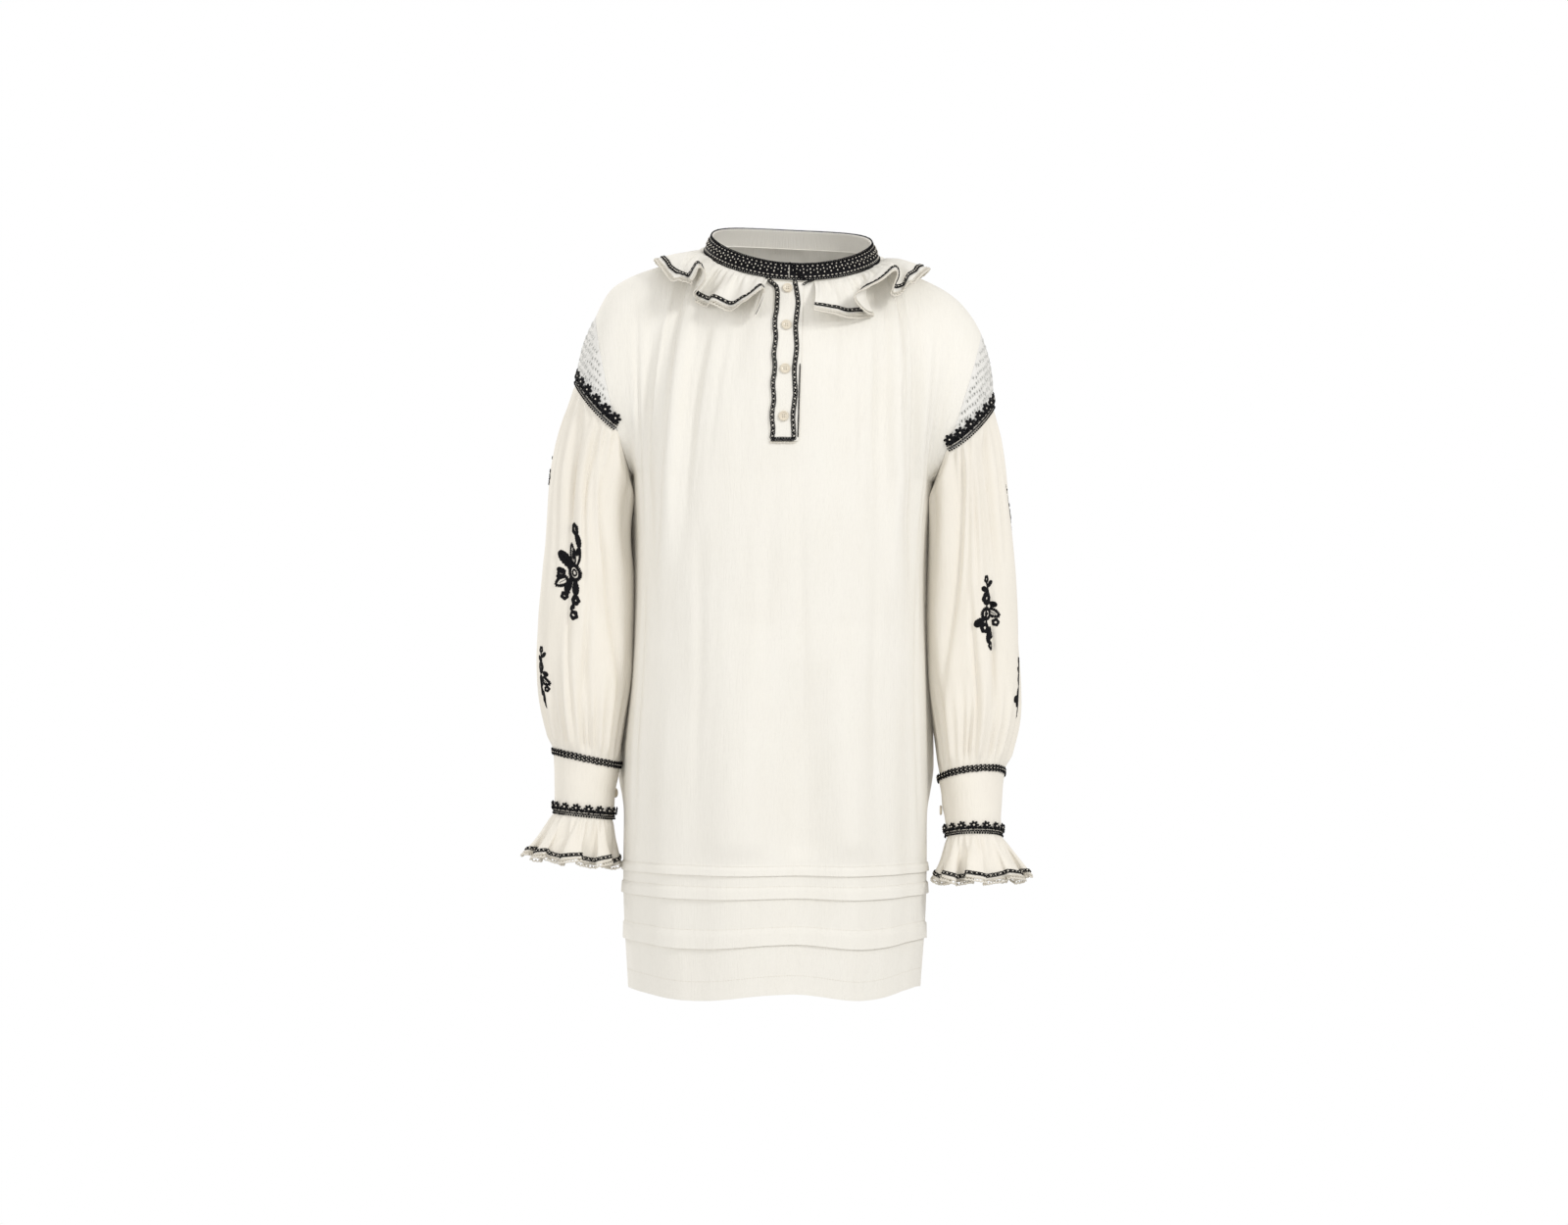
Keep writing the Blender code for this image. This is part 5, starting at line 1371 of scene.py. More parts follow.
def leaf(x, y, angle, length, width, steps=6):
    """A filled leaf of slanting stitches on both sides of its vein, from its foot at x, y. Sizes in mm."""
    a = math.radians(angle)
    rows = []
    for k in range(steps):
        along = (k + 0.5) / steps
        half = width / 2 * math.sin(math.pi * (0.12 + 0.80 * along))
        for way in (-1, 1):
            cx = x + math.cos(a) * length * along - math.sin(a) * half / 2 * way
            cy = y + math.sin(a) * length * along + math.cos(a) * half / 2 * way
            rows.append((cx * MM, cy * MM, a + way * 0.6, half * 1.8 * MM, length / steps * 1.7 * MM))
    return np.array(rows)


def open_leaf(x, y, angle, length, width, thread_width=0.0024):
    """A leaf drawn by its outline, with a vein. Sizes in mm."""
    a = math.radians(angle)
    turn = np.linspace(0, 2 * math.pi, 13)
    along = length * (0.5 - 0.5 * np.cos(turn))
    beside = width / 2 * np.sin(turn) * (0.75 + 0.25 * np.cos(turn))
    px = x + math.cos(a) * along - math.sin(a) * beside
    py = y + math.sin(a) * along + math.cos(a) * beside
    vein = run([(x, y), (x + math.cos(a) * length * 0.7, y + math.sin(a) * length * 0.7)], 0.0019, 0.0008)
    return np.concatenate([run(np.stack([px, py], axis=-1), 0.0018, thread_width), vein])


def flower(x, y, radius, petals=5, turn=0.0):
    """A small flower of fanned stitches. Sizes in mm."""
    rows = []
    for k in range(petals):
        middle = math.radians(turn + 360.0 * k / petals)
        for off in (-0.32, 0.0, 0.32):
            a = middle + off
            reach = radius * (0.62 if off else 0.70)
            cx, cy = x + math.cos(a) * reach, y + math.sin(a) * reach
            rows.append((cx * MM, cy * MM, middle + off * 0.6, radius * 0.88 * MM, radius * 0.64 * MM))
    return np.array(rows)


def circle(x, y, radius, width=0.0020):
    """A ring of stitches. Sizes in mm."""
    turn = np.linspace(0, 2 * math.pi, 13)
    return run(np.stack([x + radius * np.cos(turn), y + radius * np.sin(turn)], axis=-1), 0.0017, width)


def sprig():
    """The sleeve's large sprig: a ringed rosette, a curved stem, leaves, buds and blossoms."""
    return np.concatenate([
        circle(4, 0, 7.8, 0.0046), circle(4, 0, 3.2, 0.0026),
        run([(7, -8), (10, -18), (9, -29), (3, -38)], width=0.0030),
        leaf(9, -30, -112, 13, 8), leaf(5, -20, -60, 10, 6), flower(1, -45, 6.2, 6, 15),
        open_leaf(2, -9, -108, 20, 10, 0.0030), leaf(0, -14, -80, 11, 5),
        leaf(-3, -4, -138, 19, 10.5), leaf(-9, 3, -172, 9, 6, 5), flower(-13, 6, 4.6, 5, 40),
        open_leaf(-6, 9, 140, 15, 11, 0.0040), leaf(-10, 8, 168, 8, 5, 4),
        leaf(0, 8, 112, 17, 8.5), leaf(6, 9, 82, 16, 8.5), flower(-7, 28, 4.8, 5, 10),
        leaf(-2, 22, 140, 8, 5, 4), flower(8, 30, 5.6, 6), run([(6, 20), (7, 30), (7, 40)], width=0.0026),
        leaf(6, 36, 120, 7, 4.5, 4), flower(7, 47, 5.6, 5, 20),
    ])


def small_sprig():
    """The sleeve's small sprig: two blossoms, a ring and leaves on a short stem."""
    return np.concatenate([
        run([(1, -26), (3, -14), (-1, -2), (-3, 12), (1, 26)], width=0.0026),
        flower(1, -30, 4.2, 5, 20), leaf(3, -22, -30, 9, 5), leaf(1, -18, -150, 9, 5.5),
        flower(0, -10, 7.0, 6), leaf(6, -4, 20, 9, 6), circle(-2, 6, 5.4, 0.0040), flower(-2, 6, 2.2, 4),
        open_leaf(4, 3, 30, 14, 9, 0.0036), flower(12, 16, 4.0, 5), leaf(-6, 11, 150, 12, 8),
        flower(-5, 20, 5.4, 6, 10), leaf(1, 20, 60, 12, 6.5), leaf(0, 24, 100, 11, 6),
        flower(2, 37, 4.4, 5, 35),
    ])


# What is sewn to each sleeve


def lace_cells(side, around, degrees):
    """The cap's staggered cells: each one's outline and hole, and whether it is cut through."""
    columns = int(around[-1] / LACE_ACROSS)
    size = np.array([1 / columns, LACE_DOWN])
    turn = np.arctan2(LACE_CELL[:, 1], LACE_CELL[:, 0])
    hole = np.stack([np.cos(turn), np.sin(turn)], axis=-1) * LACE_HOLE
    chance = np.random.default_rng(55 + side)
    cells, holes = [], []
    for j in range(int(ARMHOLE[side][3] / LACE_DOWN) + 1):
        for i in range(-1, columns + 1):
            centre = np.array([(i + 0.5 + 0.5 * (j % 2)) / columns, (j + 0.5) * LACE_DOWN])
            outline = centre + LACE_CELL * size
            shift = chance.uniform(-1, 1, 2) * LACE_HOLE_SHIFT * size
            inside = centre + shift + hole * chance.uniform(*LACE_HOLE_SIZES) * size
            share = np.clip(outline[:, 0], 0, 1)
            width = lace_width(side, np.interp(share * around[-1], around, degrees))
            if np.all(outline[:, 1] > width) or np.ptp(share) < 1e-6:
                continue
            inner = 0 < outline[:, 0].min() and outline[:, 0].max() < 1
            whole = inner and np.all(outline[:, 1] < width - 0.001)
            outline = np.stack([share, np.minimum(outline[:, 1], width)], axis=-1)
            if not whole:
                bottom, top = outline[:5], outline[10:5:-1]
                height = (top - bottom)[:, 1:]
                middle = ((bottom + top) / 2 * height).sum(axis=0) / height.sum()
                inside = np.broadcast_to(middle, outline.shape)
            cells.append(np.concatenate([outline, inside]))
            holes.append(whole)
    return np.array(cells), np.array(holes)


def closed_sheet(top, outward, flat, faces):
    """A sheet with holes given its thickness: equal points made one, and a rim along every edge."""
    keys = np.round(top * 1e6).astype(np.int64)
    first, same = np.unique(keys, axis=0, return_index=True, return_inverse=True)[1:]
    faces = same.ravel()[faces]
    thin = (faces[:, 0] == faces[:, 1]) | (faces[:, 1] == faces[:, 2]) | (faces[:, 2] == faces[:, 0])
    faces = faces[~thin]
    where, times = np.unique(np.sort(faces, axis=1), axis=0, return_inverse=True, return_counts=True)[1:]
    faces = faces[times[where.ravel()] == 1]
    a, b, c = (top[first][faces[:, k]] for k in range(3))
    if (np.cross(b - a, c - a) * outward[first][faces[:, 0]]).sum() < 0:
        faces = faces[:, ::-1]
    count = len(first)
    edges = {(a, b) for face in faces.tolist() for a, b in zip(face, face[1:] + face[:1])}
    rims = []
    for a, b in sorted(edges):
        if (b, a) not in edges:
            rims += [(b, a, a + count), (b, a + count, b + count)]
    points = np.concatenate([top[first], top[first] - outward[first] * GAUZE])
    every = np.concatenate([faces, faces[:, ::-1] + count, np.array(rims)])
    return points, every, np.tile(flat[first], (2, 1))[every]


def eyelet_lace(side):
    """The lace cap: a white sheet with staggered small eyelets, cut through."""
    degrees = np.linspace(-LACE_TIP[side], LACE_TIP[side], 400)
    middle = lace_surface(side, degrees, 0.55)
    around = lengths(middle)
    places, holes = lace_cells(side, around, degrees)
    angle = np.interp(places[..., 0] * around[-1], around, degrees)
    depth = 1 - np.clip(places[..., 1] / lace_width(side, angle), 0, 1)
    outward = armhole_outward(side, angle)
    flat = np.stack([places[..., 0] * around[-1], places[..., 1]], axis=-1)
    raised = 0.0003 * rumple(flat[..., 0], flat[..., 1], 0.004, 0.005, 51)[..., None]
    top = lace_surface(side, angle, depth) + outward * raised
    count = len(LACE_CELL)
    a = np.arange(count)
    b = (a + 1) % count
    halves = ((a, b, b + count), (a, b + count, a + count))
    cell = np.concatenate([np.stack(corners, axis=-1) for corners in halves])
    faces = (np.arange(len(places))[:, None, None] * 2 * count + cell).reshape(-1, 3)
    points, faces, flats = closed_sheet(*(x.reshape(-1, x.shape[-1]) for x in (top, outward, flat)), faces)
    thing = mesh_object(f"lace_{WORDS[side]}", points, faces, LACE_WHITE, flats)
    area = float(np.trapz(lace_width(side, degrees), around))
    centres = places[holes, count:].mean(axis=1)
    angle = np.interp(centres[:, 0] * around[-1], around, degrees)
    depth = 1 - centres[:, 1] / lace_width(side, angle)
    spot = lace_surface(side, angle, depth)
    out = armhole_outward(side, angle)
    along = unit(lace_surface(side, angle + 1.0, depth) - lace_surface(side, angle - 1.0, depth))
    rims = sized((spot + out * 0.0002, along, out), "lace_rim")
    rim = repeat(f"lace_rims_{WORDS[side]}", RING, rims, LACE_THREAD, seed=11)
    return thing, rim, (float(around[-1]), ARMHOLE[side][3], area)


def braid(name, line, outward, inward_up, pitch, size, heights):
    """Rosettes in a row with fans between them, over a double line of chain stitch, a cord and beads."""
    spot, along, out = places = along_points(line, outward, pitch)
    up = upward(places, inward_up)
    middle = spot + up * size * 0.62 + out * 0.0012
    foot, along_foot, out_foot = below = along_points(line, outward, STITCH["braid_line"][0])
    up_foot = upward(below, inward_up)

    def row(kind, height, lift=0.0):
        """Stitches of one kind at a height above the line."""
        return sized((foot + up_foot * height + out_foot * lift, along_foot, out_foot), kind)

    between = (spot[:-1] + spot[1:]) * 0.5 + out[:-1] * 0.0008 + unit(up[:-1] + up[1:]) * size * 0.36
    rosette_places = sized((middle, along, out), (size * 1.15, size, 0.0018))
    chain_places = together(*(row("braid_line", height) for height in heights))
    eye_places = sized((middle + out * 0.0009, along, out), "braid_eye")
    fan_places = sized((between, along[:-1], out[:-1]), (size * 0.52, size * 0.50, 0.0012))
    rosettes = repeat(name + "_rosettes", ROSETTE, rosette_places, BLACK, 0.04, 21)
    chain = repeat(name + "_lines", LINK, chain_places, BLACK, seed=22)
    eyes = repeat(name + "_eyes", KNOT, eye_places, CREAM_THREAD, 0.1, 26)
    cord = repeat(name + "_cord", SATIN, row("braid_cord", sum(heights) / 2, 0.0002), CREAM_THREAD, seed=23)
    fans = repeat(name + "_fans", BLOOM, fan_places, BLACK, 0.04, 24)
    beads = repeat(name + "_beads", KNOT, row("braid_bead", -0.0020, 0.0004), BLACK, 0.1, 25)
    return rosettes, chain, cord, fans, beads, eyes


def shoulder_braid(side):
    """The scalloped rosette braid along the lace's lower edge."""
    degrees = np.linspace(-LACE_TIP[side] * 0.97, LACE_TIP[side] * 0.97, 900)
    width = lace_width(side, degrees)
    line = lace_surface(side, degrees, 1 - np.minimum(0.0010 / width, 0.2))
    outward = armhole_outward(side, degrees)
    up = -np.array(ARM_DIRECTION[side])
    return braid(f"shoulder_braid_{WORDS[side]}", line + outward * 0.0010, outward, up, *SHOULDER_BRAID)


def sleeve(side):
    """The full sleeve with its pleats, long folds, creases and cuff gathers."""
    columns, rows = 188, 114
    degrees = np.arange(columns) * 360.0 / columns - 180.0
    v = np.linspace(0, 1, rows)[:, None]
    base = sleeve_surface(side, degrees, v[:, 0])
    cloth = Cloth(base, closed=True, out=base - base.mean(axis=1, keepdims=True))
    a = np.radians(degrees)[None, :]
    drift = a + 0.10 * np.sin(2 * a + side) + 0.05 * np.sin(5 * a)
    pleats = PLEAT_DEPTH * np.cos(SLEEVE_PLEATS * drift) * ease(v / 0.14) * ease((0.62 - v) / 0.48)
    gathers = CUFF_GATHER_DEPTH * np.cos(SLEEVE_PLEATS * drift) * ease((v - 0.62) / 0.24)
    tight = a + 0.05 * np.sin(3 * a + 1) + 0.03 * np.sin(7 * a)
    fine_top = 0.0015 * np.cos(23 * tight) * ease(v / 0.03) * ease((0.30 - v) / 0.28)
    fine_low = 0.0018 * np.cos(27 * tight) * ease((v - 0.74) / 0.18)
    push = pleats + gathers + fine_top + fine_low
    push = push + SLEEVE_FOLD_GAIN * angle_fold_field(SLEEVE_FOLDS[side], degrees[None, :], v)
    push = push + SLEEVE_CREASE_GAIN * angle_fold_field(SLEEVE_CREASES[side], degrees[None, :], v)
    u, w = cloth.u, cloth.v
    ends = np.cos(a) * 0.05
    push = push + 0.0010 * rumple(u, w + ends, 0.020, 0.11, 61 + side)
    push = push + 0.0004 * rumple(u, w, 0.008, 0.05, 63)
    inside = ease((np.abs(degrees)[None, :] - 120.0) / 50.0)
    push = push * (1 - 0.7 * inside) * ease(v / 0.03) * ease((1 - v) / 0.03)
    cloth.push(push)
    towards_body = ease((np.abs(degrees)[None, :] - 95.0) / 45.0) * ease(v / 0.12) * ease((1 - v) / 0.25)
    cloth.points[..., 0] -= side * SLEEVE_LEAN * towards_body
    cloth.set(cloth.points)
    return cloth


# Columns: degrees round the sleeve, share of its length, which sprig, size
SPRIGS = {
    LEFT: (
        (70.0, 0.51, 0, 1.04), (32.0, 0.80, 1, 0.95), (2.0, 0.30, 1, 0.7), (-38.0, 0.47, 0, 1.1),
        (-66.0, 0.80, 1, 1.15), (-78.0, 0.20, 1, 1.1),
    ),
    RIGHT: (
        (72.0, 0.59, 1, 1.08), (22.0, 0.80, 1, 0.95), (6.0, 0.34, 1, 0.8), (-38.0, 0.50, 0, 1.1),
        (-66.0, 0.82, 1, 1.15), (-78.0, 0.22, 1, 1.1),
    ),
}


def sleeve_sprigs(side, cloth):
    """The floral sprigs embroidered on the sleeve, turned so that each reads the same way from the front."""
    rows, columns = cloth.points.shape[:2]
    groups = []
    for degrees, share, small, size in SPRIGS[side]:
        drawn = (small_sprig() if small else sprig()) * np.array([size, size, 1, size, size])
        if side == RIGHT:
            drawn = drawn * np.array([-1, 1, -1, 1, 1]) + np.array([0, 0, math.pi, 0, 0])
        column = (degrees + 180.0) / 360.0 * columns
        groups.append(cloth.patch(share * (rows - 1), column, drawn, 0.0009, 0.0001))
    return repeat(f"sprigs_{WORDS[side]}", SATIN, together(*groups), BLACK, 0.06, 71)


def cuff(side):
    """The deep cuff, with a soft dent."""
    columns, rows = 126, 20
    degrees = np.linspace(CUFF_EDGE[side], CUFF_EDGE[side] + 360.0 + CUFF_LAP, columns)
    v = np.linspace(0, 1, rows)[:, None]
    points = cuff_surface(side, degrees[None, :] + 0 * v, v + 0 * degrees[None, :])
    outward = cuff_outward(side, degrees)[None] + 0 * points
    cloth = Cloth(points, out=outward)
    dent = 0.0010 * rumple(cloth.u, cloth.v, 0.030, 0.018, 81 + side) - 0.0012 * np.sin(np.pi * v)
    cloth.push(dent * ease(v / 0.12) * ease((1 - v) / 0.2))
    return cloth


def cuff_trims(side, cloth):
    """The lattice braid on the cuff's top edge and the rosette braid at its foot."""
    rows, columns = cloth.points.shape[:2]
    ends = (columns * (CUFF_LAP + 2.0) / (360.0 + CUFF_LAP), columns - 1.0)
    length = abs(CUFF_RINGS[side][1][2] - CUFF_RINGS[side][0][2])
    row = (rows - 1) * LATTICE_UP / length
    word = WORDS[side]
    lattice = []
    for way in (-1, 1):
        here = row + way * LATTICE_SHIFT / length * rows
        spot, along, out, size = cloth.row_of("cuff_lattice", here, ends, 0.0005, 2500)
        turned = along * math.cos(LATTICE_TURN) - np.cross(out, along) * math.sin(way * LATTICE_TURN)
        lattice.append((spot, turned, out, size))
    top = repeat(f"cuff_top_braid_{word}_links", LINK, together(*lattice), BLACK, seed=31)
    dots = cloth.row_of("cuff_speck", row, ends, 0.0016, 2500)
    specks = repeat(f"cuff_top_braid_{word}_specks", KNOT, dots, CREAM_THREAD, seed=32)
    foot_row = (rows - 1) * (1 - 0.0016 / length)
    line, outward = cloth.read(foot_row, np.linspace(*ends, 1400), 0.0005)[:2]
    foot = braid(f"cuff_foot_braid_{word}", line, outward, np.array([0.0, 0.0, 1.0]), *CUFF_BRAID)
    return (top, specks, *foot)


def cuff_frill(side):
    """The gathered frill below the cuff."""
    columns, rows = 240, 20
    degrees = np.arange(columns) * 360.0 / columns
    v = np.linspace(0, 1, rows)[:, None]
    points = frill_surface(side, degrees[None, :], v)
    cloth = Cloth(points, closed=True, out=points - points.mean(axis=1, keepdims=True))
    a = np.radians(degrees)[None, :]
    tight = a + 0.06 * np.sin(3 * a) + 0.03 * np.sin(7 * a + 2)
    fine = 0.0012 * np.cos(26 * tight) * np.exp(-((v - 0.10) / 0.40) ** 2) * ease(v / 0.08)
    soft = 0.0014 * np.cos(13 * tight + 1) * np.exp(-((v - 0.5) / 0.35) ** 2)
    cloth.push(fine + soft * ease(v / 0.2))
    return cloth


def make_button(name, seat, outward):
    """A four-hole button with a raised rim, sewn on with two pairs of threads."""
    outward = np.array(outward, float)
    across = unit(np.cross(np.array([0.0, 0.0, 1.0]), outward))
    up = np.cross(outward, across)
    sides, rings = BUTTON_SIDES, len(BUTTON_PROFILE)
    points = []
    for radius, height in BUTTON_PROFILE:
        for k in range(sides):
            a = 2 * math.pi * k / sides
            flat = across * math.cos(a) + up * math.sin(a)
            points.append(seat + flat * radius * BUTTON_RADIUS + outward * height * BUTTON_THICKNESS)
    faces = [*turned_over(ring_faces(rings, sides)), cap(0, sides), cap((rings - 1) * sides, sides)[::-1]]
    thing = small_object(name, points, faces)
    thing.data.set_sharp_from_angle(angle=math.radians(40))
    thing.data.materials.append(SHELL)

    def sewn(kind, spots, along, share):
        """Stitches of one kind on the button's face at spots across and up from its middle."""
        spot = np.array([seat + across * x + up * y for x, y in spots]) + outward * BUTTON_THICKNESS * share
        return sized((spot, along + 0 * spot, outward + 0 * spot), kind)

    reach, apart = BUTTON_HOLE_REACH, BUTTON_THREAD_APART
    corners = ((-reach, -reach), (reach, -reach), (reach, reach), (-reach, reach))
    pairs = [(x + off, 0.0) for x in (-reach, reach) for off in (-apart, apart)]
    # The four holes are flat dark discs, not cut through: painted shade inside each hole.
    holes = repeat(name + "_holes", KNOT, sewn("button_hole", corners, across, 0.50), HOLE_SHADE, 0.0, 5)
    stitches = repeat(name + "_thread", SATIN, sewn("button_thread", pairs, up, 0.53), CREAM_THREAD, 0.02, 6)
    return thing, holes, stitches


# Placket


def placket_x(offset, height):
    """x on the placket, which leans a little."""
    return offset + PLACKET_LEAN * (height - (PLACKET_TOP + PLACKET_END) / 2)


def front_finder(thing):
    """A function that puts places, given by x and height, on the front's outer face."""
    tree = tree_of(thing)

    def find(x, height):
        x, height = np.broadcast_arrays(np.asarray(x, float), np.asarray(height, float))
        found = np.zeros(x.shape + (3,))
        for place in np.ndindex(x.shape):
            spot = Vector((x[place], -0.2, height[place]))
            hit = tree.ray_cast(spot, Vector((0, 1, 0)))[0]
            if hit is None or hit.y > 0:
                spot.y = NECK_Y - NECK_FRONT_REACH
                hit = tree.find_nearest(spot)[0]
            found[place] = tuple(hit)
        return found

    return find


def placket_cloth(find):
    """The placket's strip, laid on the front."""
    heights = np.linspace(PLACKET_TOP, PLACKET_END, PLACKET_ROWS)[:, None]
    x = placket_x(PLACKET_X + np.linspace(-1, 1, PLACKET_COLUMNS)[None, :] * PLACKET_HALF_WIDTH, heights)
    cloth = Cloth(find(x, heights), out=np.array([0.0, -1.0, 0.0]))
    cloth.set(cloth.points + cloth.outward * (SEAM + GAUZE * 1.5))
    return cloth


def path_places(find, keys, pitch, lift, steps=500):
    """Places along a path of (x, height) keys on the front."""
    keys = np.array(keys, float)
    fine = smooth_through(np.linspace(0, 1, len(keys)), keys, np.linspace(0, 1, steps))
    points = find(fine[:, 0], fine[:, 1])
    outward = unit(np.array([0.05, -1.0, 0.35])) + 0 * points
    return along_points(points + outward * lift, outward, pitch)


def placket_trims(find):
    """The black crochet trims of the placket, its thin second line and its cream edges."""

    def path(kind, keys, lift):
        """Stitches of one kind along a path."""
        return sized(path_places(find, keys, STITCH[kind][0], lift), kind)

    lift = SEAM + GAUZE * 1.5 + 0.0003
    wobble = 0.0009
    heights = np.linspace(PLACKET_TOP - 0.020, PLACKET_END + 0.0015, 16)
    left_x = placket_x(TRIM_X - TRIM_HALF_WIDTH, heights) + wobble * np.sin(np.arange(16) * 1.9)
    right_x = placket_x(TRIM_X + TRIM_HALF_WIDTH - 0.0010, heights) + wobble * np.sin(np.arange(16) * 1.3 + 1)
    left = [(-0.0192, -0.0295), (-0.0150, -0.0365), (-0.0080, -0.0450), *zip(left_x[1:], heights[1:])]
    right = [(0.0120, -0.0350), *zip(right_x, heights)]
    foot_left, foot_right = (left_x[-1], PLACKET_END + 0.0012), (right_x[-1], PLACKET_END + 0.0012)
    groups = []
    for keys in (left, right, [foot_left, foot_right]):
        spot, along, out, size = path("placket_chain", keys, lift)
        beside = np.cross(out, along)
        for way in (-1, 1):
            groups.append((spot + (beside + along * 0.5) * way * 0.0013, along, out, size))
    thin = [(placket_x(TRIM_X + 0.0165, h), h) for h in np.linspace(-0.131, PLACKET_END + 0.004, 5)]
    corner = [(0.0335, -0.0335), (0.0275, -0.0365), (0.0215, -0.0405)]
    groups += [path("placket_thin", thin, lift), path("placket_corner", corner, lift + 0.001)]
    trims = repeat("placket_trims", LINK, together(*groups), BLACK, seed=41)
    specks = together(*(path("placket_speck", keys, lift + 0.0008) for keys in (left, right)))
    dots = repeat("placket_specks", KNOT, specks, CREAM_THREAD, 0.15, 44)
    edge = [(placket_x(TRIM_X + 0.0178, h), h) for h in np.linspace(-0.060, PLACKET_END, 8)]
    low = [(foot_left[0] - 0.002, PLACKET_END), (foot_right[0] + 0.002, PLACKET_END)]
    picots = []
    for name, keys, seed in (("placket_picot", edge, 42), ("placket_foot_picot", low, 43)):
        spot, along, out, size = path("placket_picot", keys, 0.0008)
        picots.append(repeat(name, PICOT, (spot, -along, out, size), CREAM_THREAD, seed=seed))
    return trims, dots, *picots


# Camera, light, and how the pieces ride with the garment


def carry(slot, *things):
    """The things ride with the garment."""
    for thing in things:
        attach(thing, "root")


def dress(node, *things, slot):
    """The things stand for the node and ride with the garment."""
    carry(slot, *things)
    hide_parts(node)


def make_camera():
    """The camera, at the photograph's place."""
    camera = add_object("camera", bpy.data.cameras.new("camera"))
    camera.location = CAMERA_PLACE
    camera.rotation_euler = (math.radians(90), 0, 0)
    camera.data.lens = LENS
    camera.data.sensor_width = SENSOR
    bpy.context.scene.camera = camera


def white_surround():
    """A great white ball round everything that only the camera sees."""
    bpy.ops.mesh.primitive_uv_sphere_add(segments=32, ring_count=16, radius=15.0)
    ball = bpy.context.object
    ball.name = "white_surround"
    material = bpy.data.materials.new("white_surround")
    material.use_nodes = True
    tree = material.node_tree
    tree.nodes.clear()
    glow, output = tree.nodes.new("ShaderNodeEmission"), tree.nodes.new("ShaderNodeOutputMaterial")
    tree.links.new(glow.outputs[0], output.inputs["Surface"])
    ball.data.materials.append(material)
    for kind in ("diffuse", "glossy", "transmission", "volume_scatter", "shadow"):
        setattr(ball, f"visible_{kind}", False)


def make_light():
    """A pale sky and three soft lamps: from the upper right, from the left, and from behind."""
    scene = bpy.context.scene
    world = bpy.data.worlds.new("sky")
    scene.world = world
    world.use_nodes = True
    background = world.node_tree.nodes["Background"]
    background.inputs["Color"].default_value = (1, 0.985, 0.965, 1)
    background.inputs["Strength"].default_value = SKY
    scene.view_settings.view_transform = "Standard"
    for name, place, size, power in LAMPS:
        lamp = bpy.data.lights.new(name, "AREA")
        lamp.size = size
        lamp.energy = power
        thing = add_object(name, lamp)
        thing.location = place
        aim = Vector(LAMP_AIM) - Vector(place)
        thing.rotation_euler = aim.to_track_quat("-Z", "Y").to_euler()


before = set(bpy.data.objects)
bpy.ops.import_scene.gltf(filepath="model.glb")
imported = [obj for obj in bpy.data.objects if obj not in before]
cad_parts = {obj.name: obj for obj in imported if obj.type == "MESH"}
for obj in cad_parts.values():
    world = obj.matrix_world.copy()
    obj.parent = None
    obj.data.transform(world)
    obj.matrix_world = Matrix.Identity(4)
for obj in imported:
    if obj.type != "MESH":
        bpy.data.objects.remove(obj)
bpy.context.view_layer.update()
make_camera()
make_light()
white_surround()
REPEAT = repeat_tree()
SATIN, LINK, PICOT, RING, KNOT = satin_item(), link_item(), picot_item(), ring_item(), knot_item()
BLOOM = bloom_item("bloom", 5, 0.34, 0.25)
ROSETTE = bloom_item("rosette", 7, 0.42, 0.30)
COTTON = gauze("crinkled_cotton", (0.870, 0.850, 0.795), (0.840, 0.815, 0.750))
# The sleeves, cuffs and cuff frills take a warmer, slightly darker copy of the body's cotton: painted warm
# shade, for cloth that hangs further back beside the body.
SHADED_SLEEVE_COTTON = gauze("sleeve_cotton_painted_shade", (0.865, 0.830, 0.755), (0.835, 0.790, 0.705))
LACE_WHITE = gauze("lace_cotton", (0.82, 0.81, 0.78), (0.74, 0.735, 0.71))
BLACK = thread("black_thread_twist", (0.009, 0.009, 0.011), (0.003, 0.003, 0.004), 0.80, 0.0)
CREAM_THREAD = thread("cream_thread", (0.82, 0.785, 0.70), (0.74, 0.69, 0.60), 0.75, 0.2)
LACE_THREAD = thread("white_thread", (0.84, 0.85, 0.83), (0.76, 0.77, 0.75), 0.75, 0.2)
# Dark brown for the button holes: painted shade.
HOLE_SHADE = thread("button_hole_shade", (0.20, 0.16, 0.10), (0.12, 0.09, 0.06), 0.9, 0.0)
SHELL = shell_material()


def build_body():
    """Front, back, placket and buttons."""
    front_cloth, front_rows = panel(False, 157, 88, 96, FRONT_FOLDS, FRONT_CREASES, 101)
    back_cloth, back_rows = panel(True, 111, 68, 78, BACK_FOLDS, BACK_CREASES, 201)
    front = wall("front_cloth", front_cloth, GAUZE, COTTON)
    back = wall("back_cloth", back_cloth, GAUZE, COTTON)
    dress("front", front, slot="cotton")
    dress("back", back, slot="cotton")
    for name, cloth, rows in (("front", front_cloth, front_rows), ("back", back_cloth, back_rows)):
        sewing = repeat(name + "_stitches", SATIN, panel_stitches(cloth, rows), CREAM_THREAD, seed=51)
        carry("cotton", sewing)
    find = front_finder(front)
    strip = placket_cloth(find)
    placket = wall("placket_cloth", strip, GAUZE * 1.5, COTTON)
    dress("placket", placket, slot="cotton")
    dress("placket_braid", *placket_trims(find), slot="black_thread")
    for number, height in enumerate(BUTTON_HEIGHTS, 1):
        row = (height - PLACKET_TOP) / (PLACKET_END - PLACKET_TOP) * (PLACKET_ROWS - 1)
        column = (1 + (TRIM_X - PLACKET_X) / PLACKET_HALF_WIDTH) * (PLACKET_COLUMNS - 1) / 2
        seat, outward = strip.read(row, column, 0.0001)[:2]
        dress(f"button_{number}", *make_button(f"button_{number}_shell", seat, outward), slot="shell")


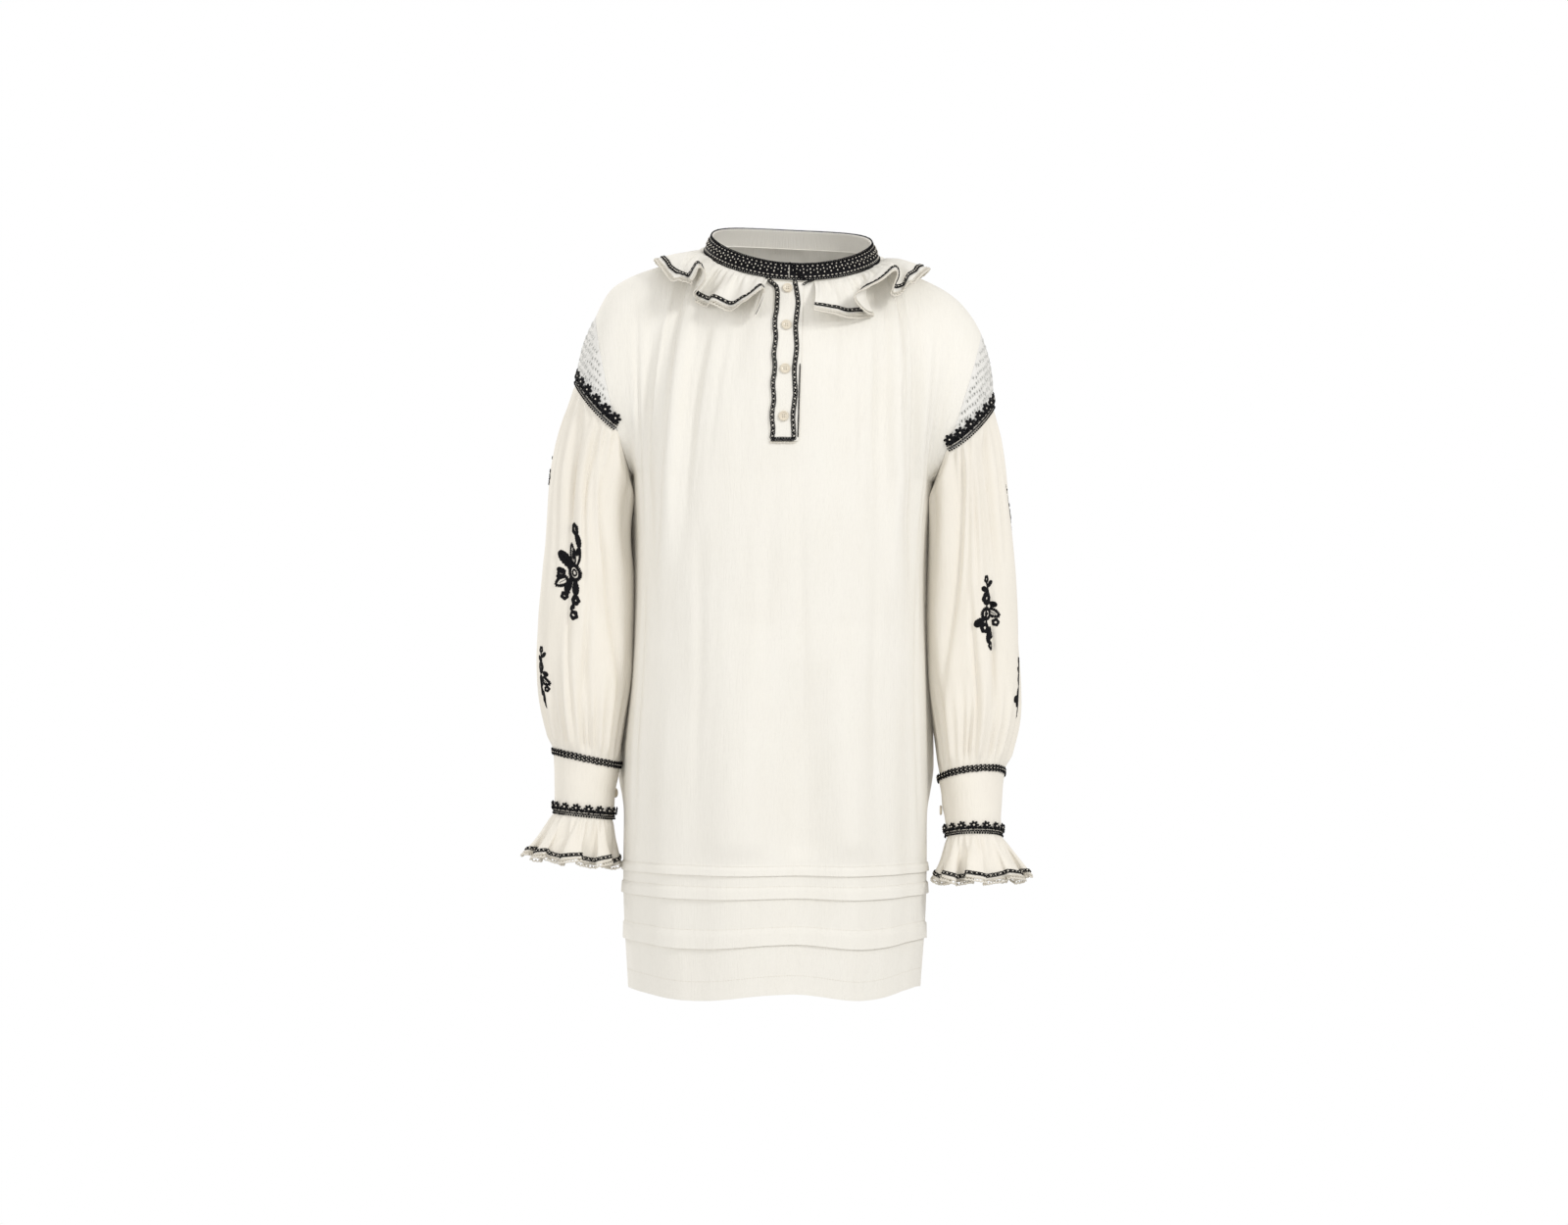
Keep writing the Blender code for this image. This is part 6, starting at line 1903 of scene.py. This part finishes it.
def build_neck():
    """Frill and band with their thread work."""
    walls = [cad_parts["front"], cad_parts["back"]]
    cloth = neck_frill(neck_slopes(walls))
    frill = wall("neck_frill_cloth", cloth, GAUZE, COTTON)
    trims = edge_pieces("neck_frill", cloth, NECK_CHAIN_UP, NECK_FRILL_LENGTH)
    dress("neck_frill", frill, slot="cotton")
    for trim, slot in zip(trims, EDGE_SLOTS):
        carry(slot, trim)
    base = band_cloth(0.0, 1.0, 0.0)
    band = wall("neck_band_cloth", base, DOUBLE, COTTON)
    ground = wall("neck_band_ground", band_cloth(0.20, 0.97, 0.0004), 0.0004, BLACK)
    rows, columns = base.points.shape[:2]

    def line(kind, share, lift):
        """Stitches of one kind round the band at a share of its height."""
        return base.row_of(kind, (rows - 1) * (1 - share), (0.0, columns - 1.0), lift, 3000)

    flowers = line("band_flower", 0.60, 0.0005)
    blooms = repeat("neck_band_flowers", BLOOM, flowers, BLACK, 0.03, 61)
    points, along, out = flowers[:3]
    up = upward(flowers[:3], (0.0, 0.0, 1.0))
    dots = [line("band_top_dash", 0.86, 0.0007)]
    for rise in (-0.0030, 0.0016):
        between = points + along * 0.0039 + out * 0.0006 + up * rise
        dots.append(sized((between, along, out), "band_between_dash"))
    dots.append(sized((points + out * 0.0006, along, out), "band_eye"))
    knots = repeat("neck_band_dots", KNOT, together(*dots), CREAM_THREAD, 0.10, 62)
    cord = line("band_cream_line", 0.25, 0.0005)
    cream_line = repeat("neck_band_cream_line", SATIN, cord, CREAM_THREAD, seed=64)
    rims = (("band_edge", 1.0), ("band_edge", 0.94), ("band_foot", 0.10))
    lines = [line(kind, share, 0.0004) for kind, share in rims]
    slant = base.line((rows - 1, 0), (6.4, 0.0), STITCH["band_slant"][0], 0.0014, 400)
    lines.append(sized(slant, "band_slant"))
    edges = repeat("neck_band_edges", LINK, together(*lines), BLACK, seed=63)
    dress("neck_band", band, ground, blooms, knots, cream_line, edges, slot="black_thread")


def build_sleeve(side):
    """One side: lace, braids, sleeve, sprigs, cuff, frill and button."""
    word = WORDS[side]
    lace, rim, (lace_long, lace_deep, lace_area) = eyelet_lace(side)
    dress(f"lace_cap_{word}", lace, rim, slot="lace")
    shoulder = shoulder_braid(side)
    dress(f"shoulder_braid_{word}", *shoulder, slot="black_thread")
    cloth = sleeve(side)
    arm = wall(f"sleeve_{word}_cloth", cloth, GAUZE, SHADED_SLEEVE_COTTON)
    dress(f"sleeve_{word}", arm, slot="cotton")
    carry("black_thread", sleeve_sprigs(side, cloth))
    cuff_strip = cuff(side)
    band = wall(f"cuff_{word}_cloth", cuff_strip, DOUBLE, SHADED_SLEEVE_COTTON)
    dress(f"cuff_{word}", band, slot="cotton")
    trims = cuff_trims(side, cuff_strip)
    dress(f"cuff_top_braid_{word}", *trims[:2], slot="black_thread")
    dress(f"cuff_scallop_{word}", *trims[2:], slot="black_thread")
    gathered = cuff_frill(side)
    frill = wall(f"cuff_frill_{word}_cloth", gathered, GAUZE, SHADED_SLEEVE_COTTON)
    length = float(gathered.v.max())
    dress(f"cuff_frill_{word}", frill, slot="cotton")
    for trim, slot in zip(edge_pieces(f"cuff_frill_{word}", gathered, CUFF_CHAIN_UP, length), EDGE_SLOTS):
        carry(slot, trim)
    degrees = CUFF_EDGE[side] + 360.0 + CUFF_LAP * 0.5
    outward = cuff_outward(side, degrees)
    seat = cuff_surface(side, degrees, CUFF_BUTTON_SHARE) + outward * 0.0004
    dress(f"cuff_button_{word}", *make_button(f"cuff_button_{word}_shell", seat, outward), slot="shell")


build_body()
build_neck()
for each_side in (LEFT, RIGHT):
    build_sleeve(each_side)
for shape in (SATIN, LINK, PICOT, RING, KNOT, BLOOM, ROSETTE):
    bpy.data.objects.remove(shape, do_unlink=True)
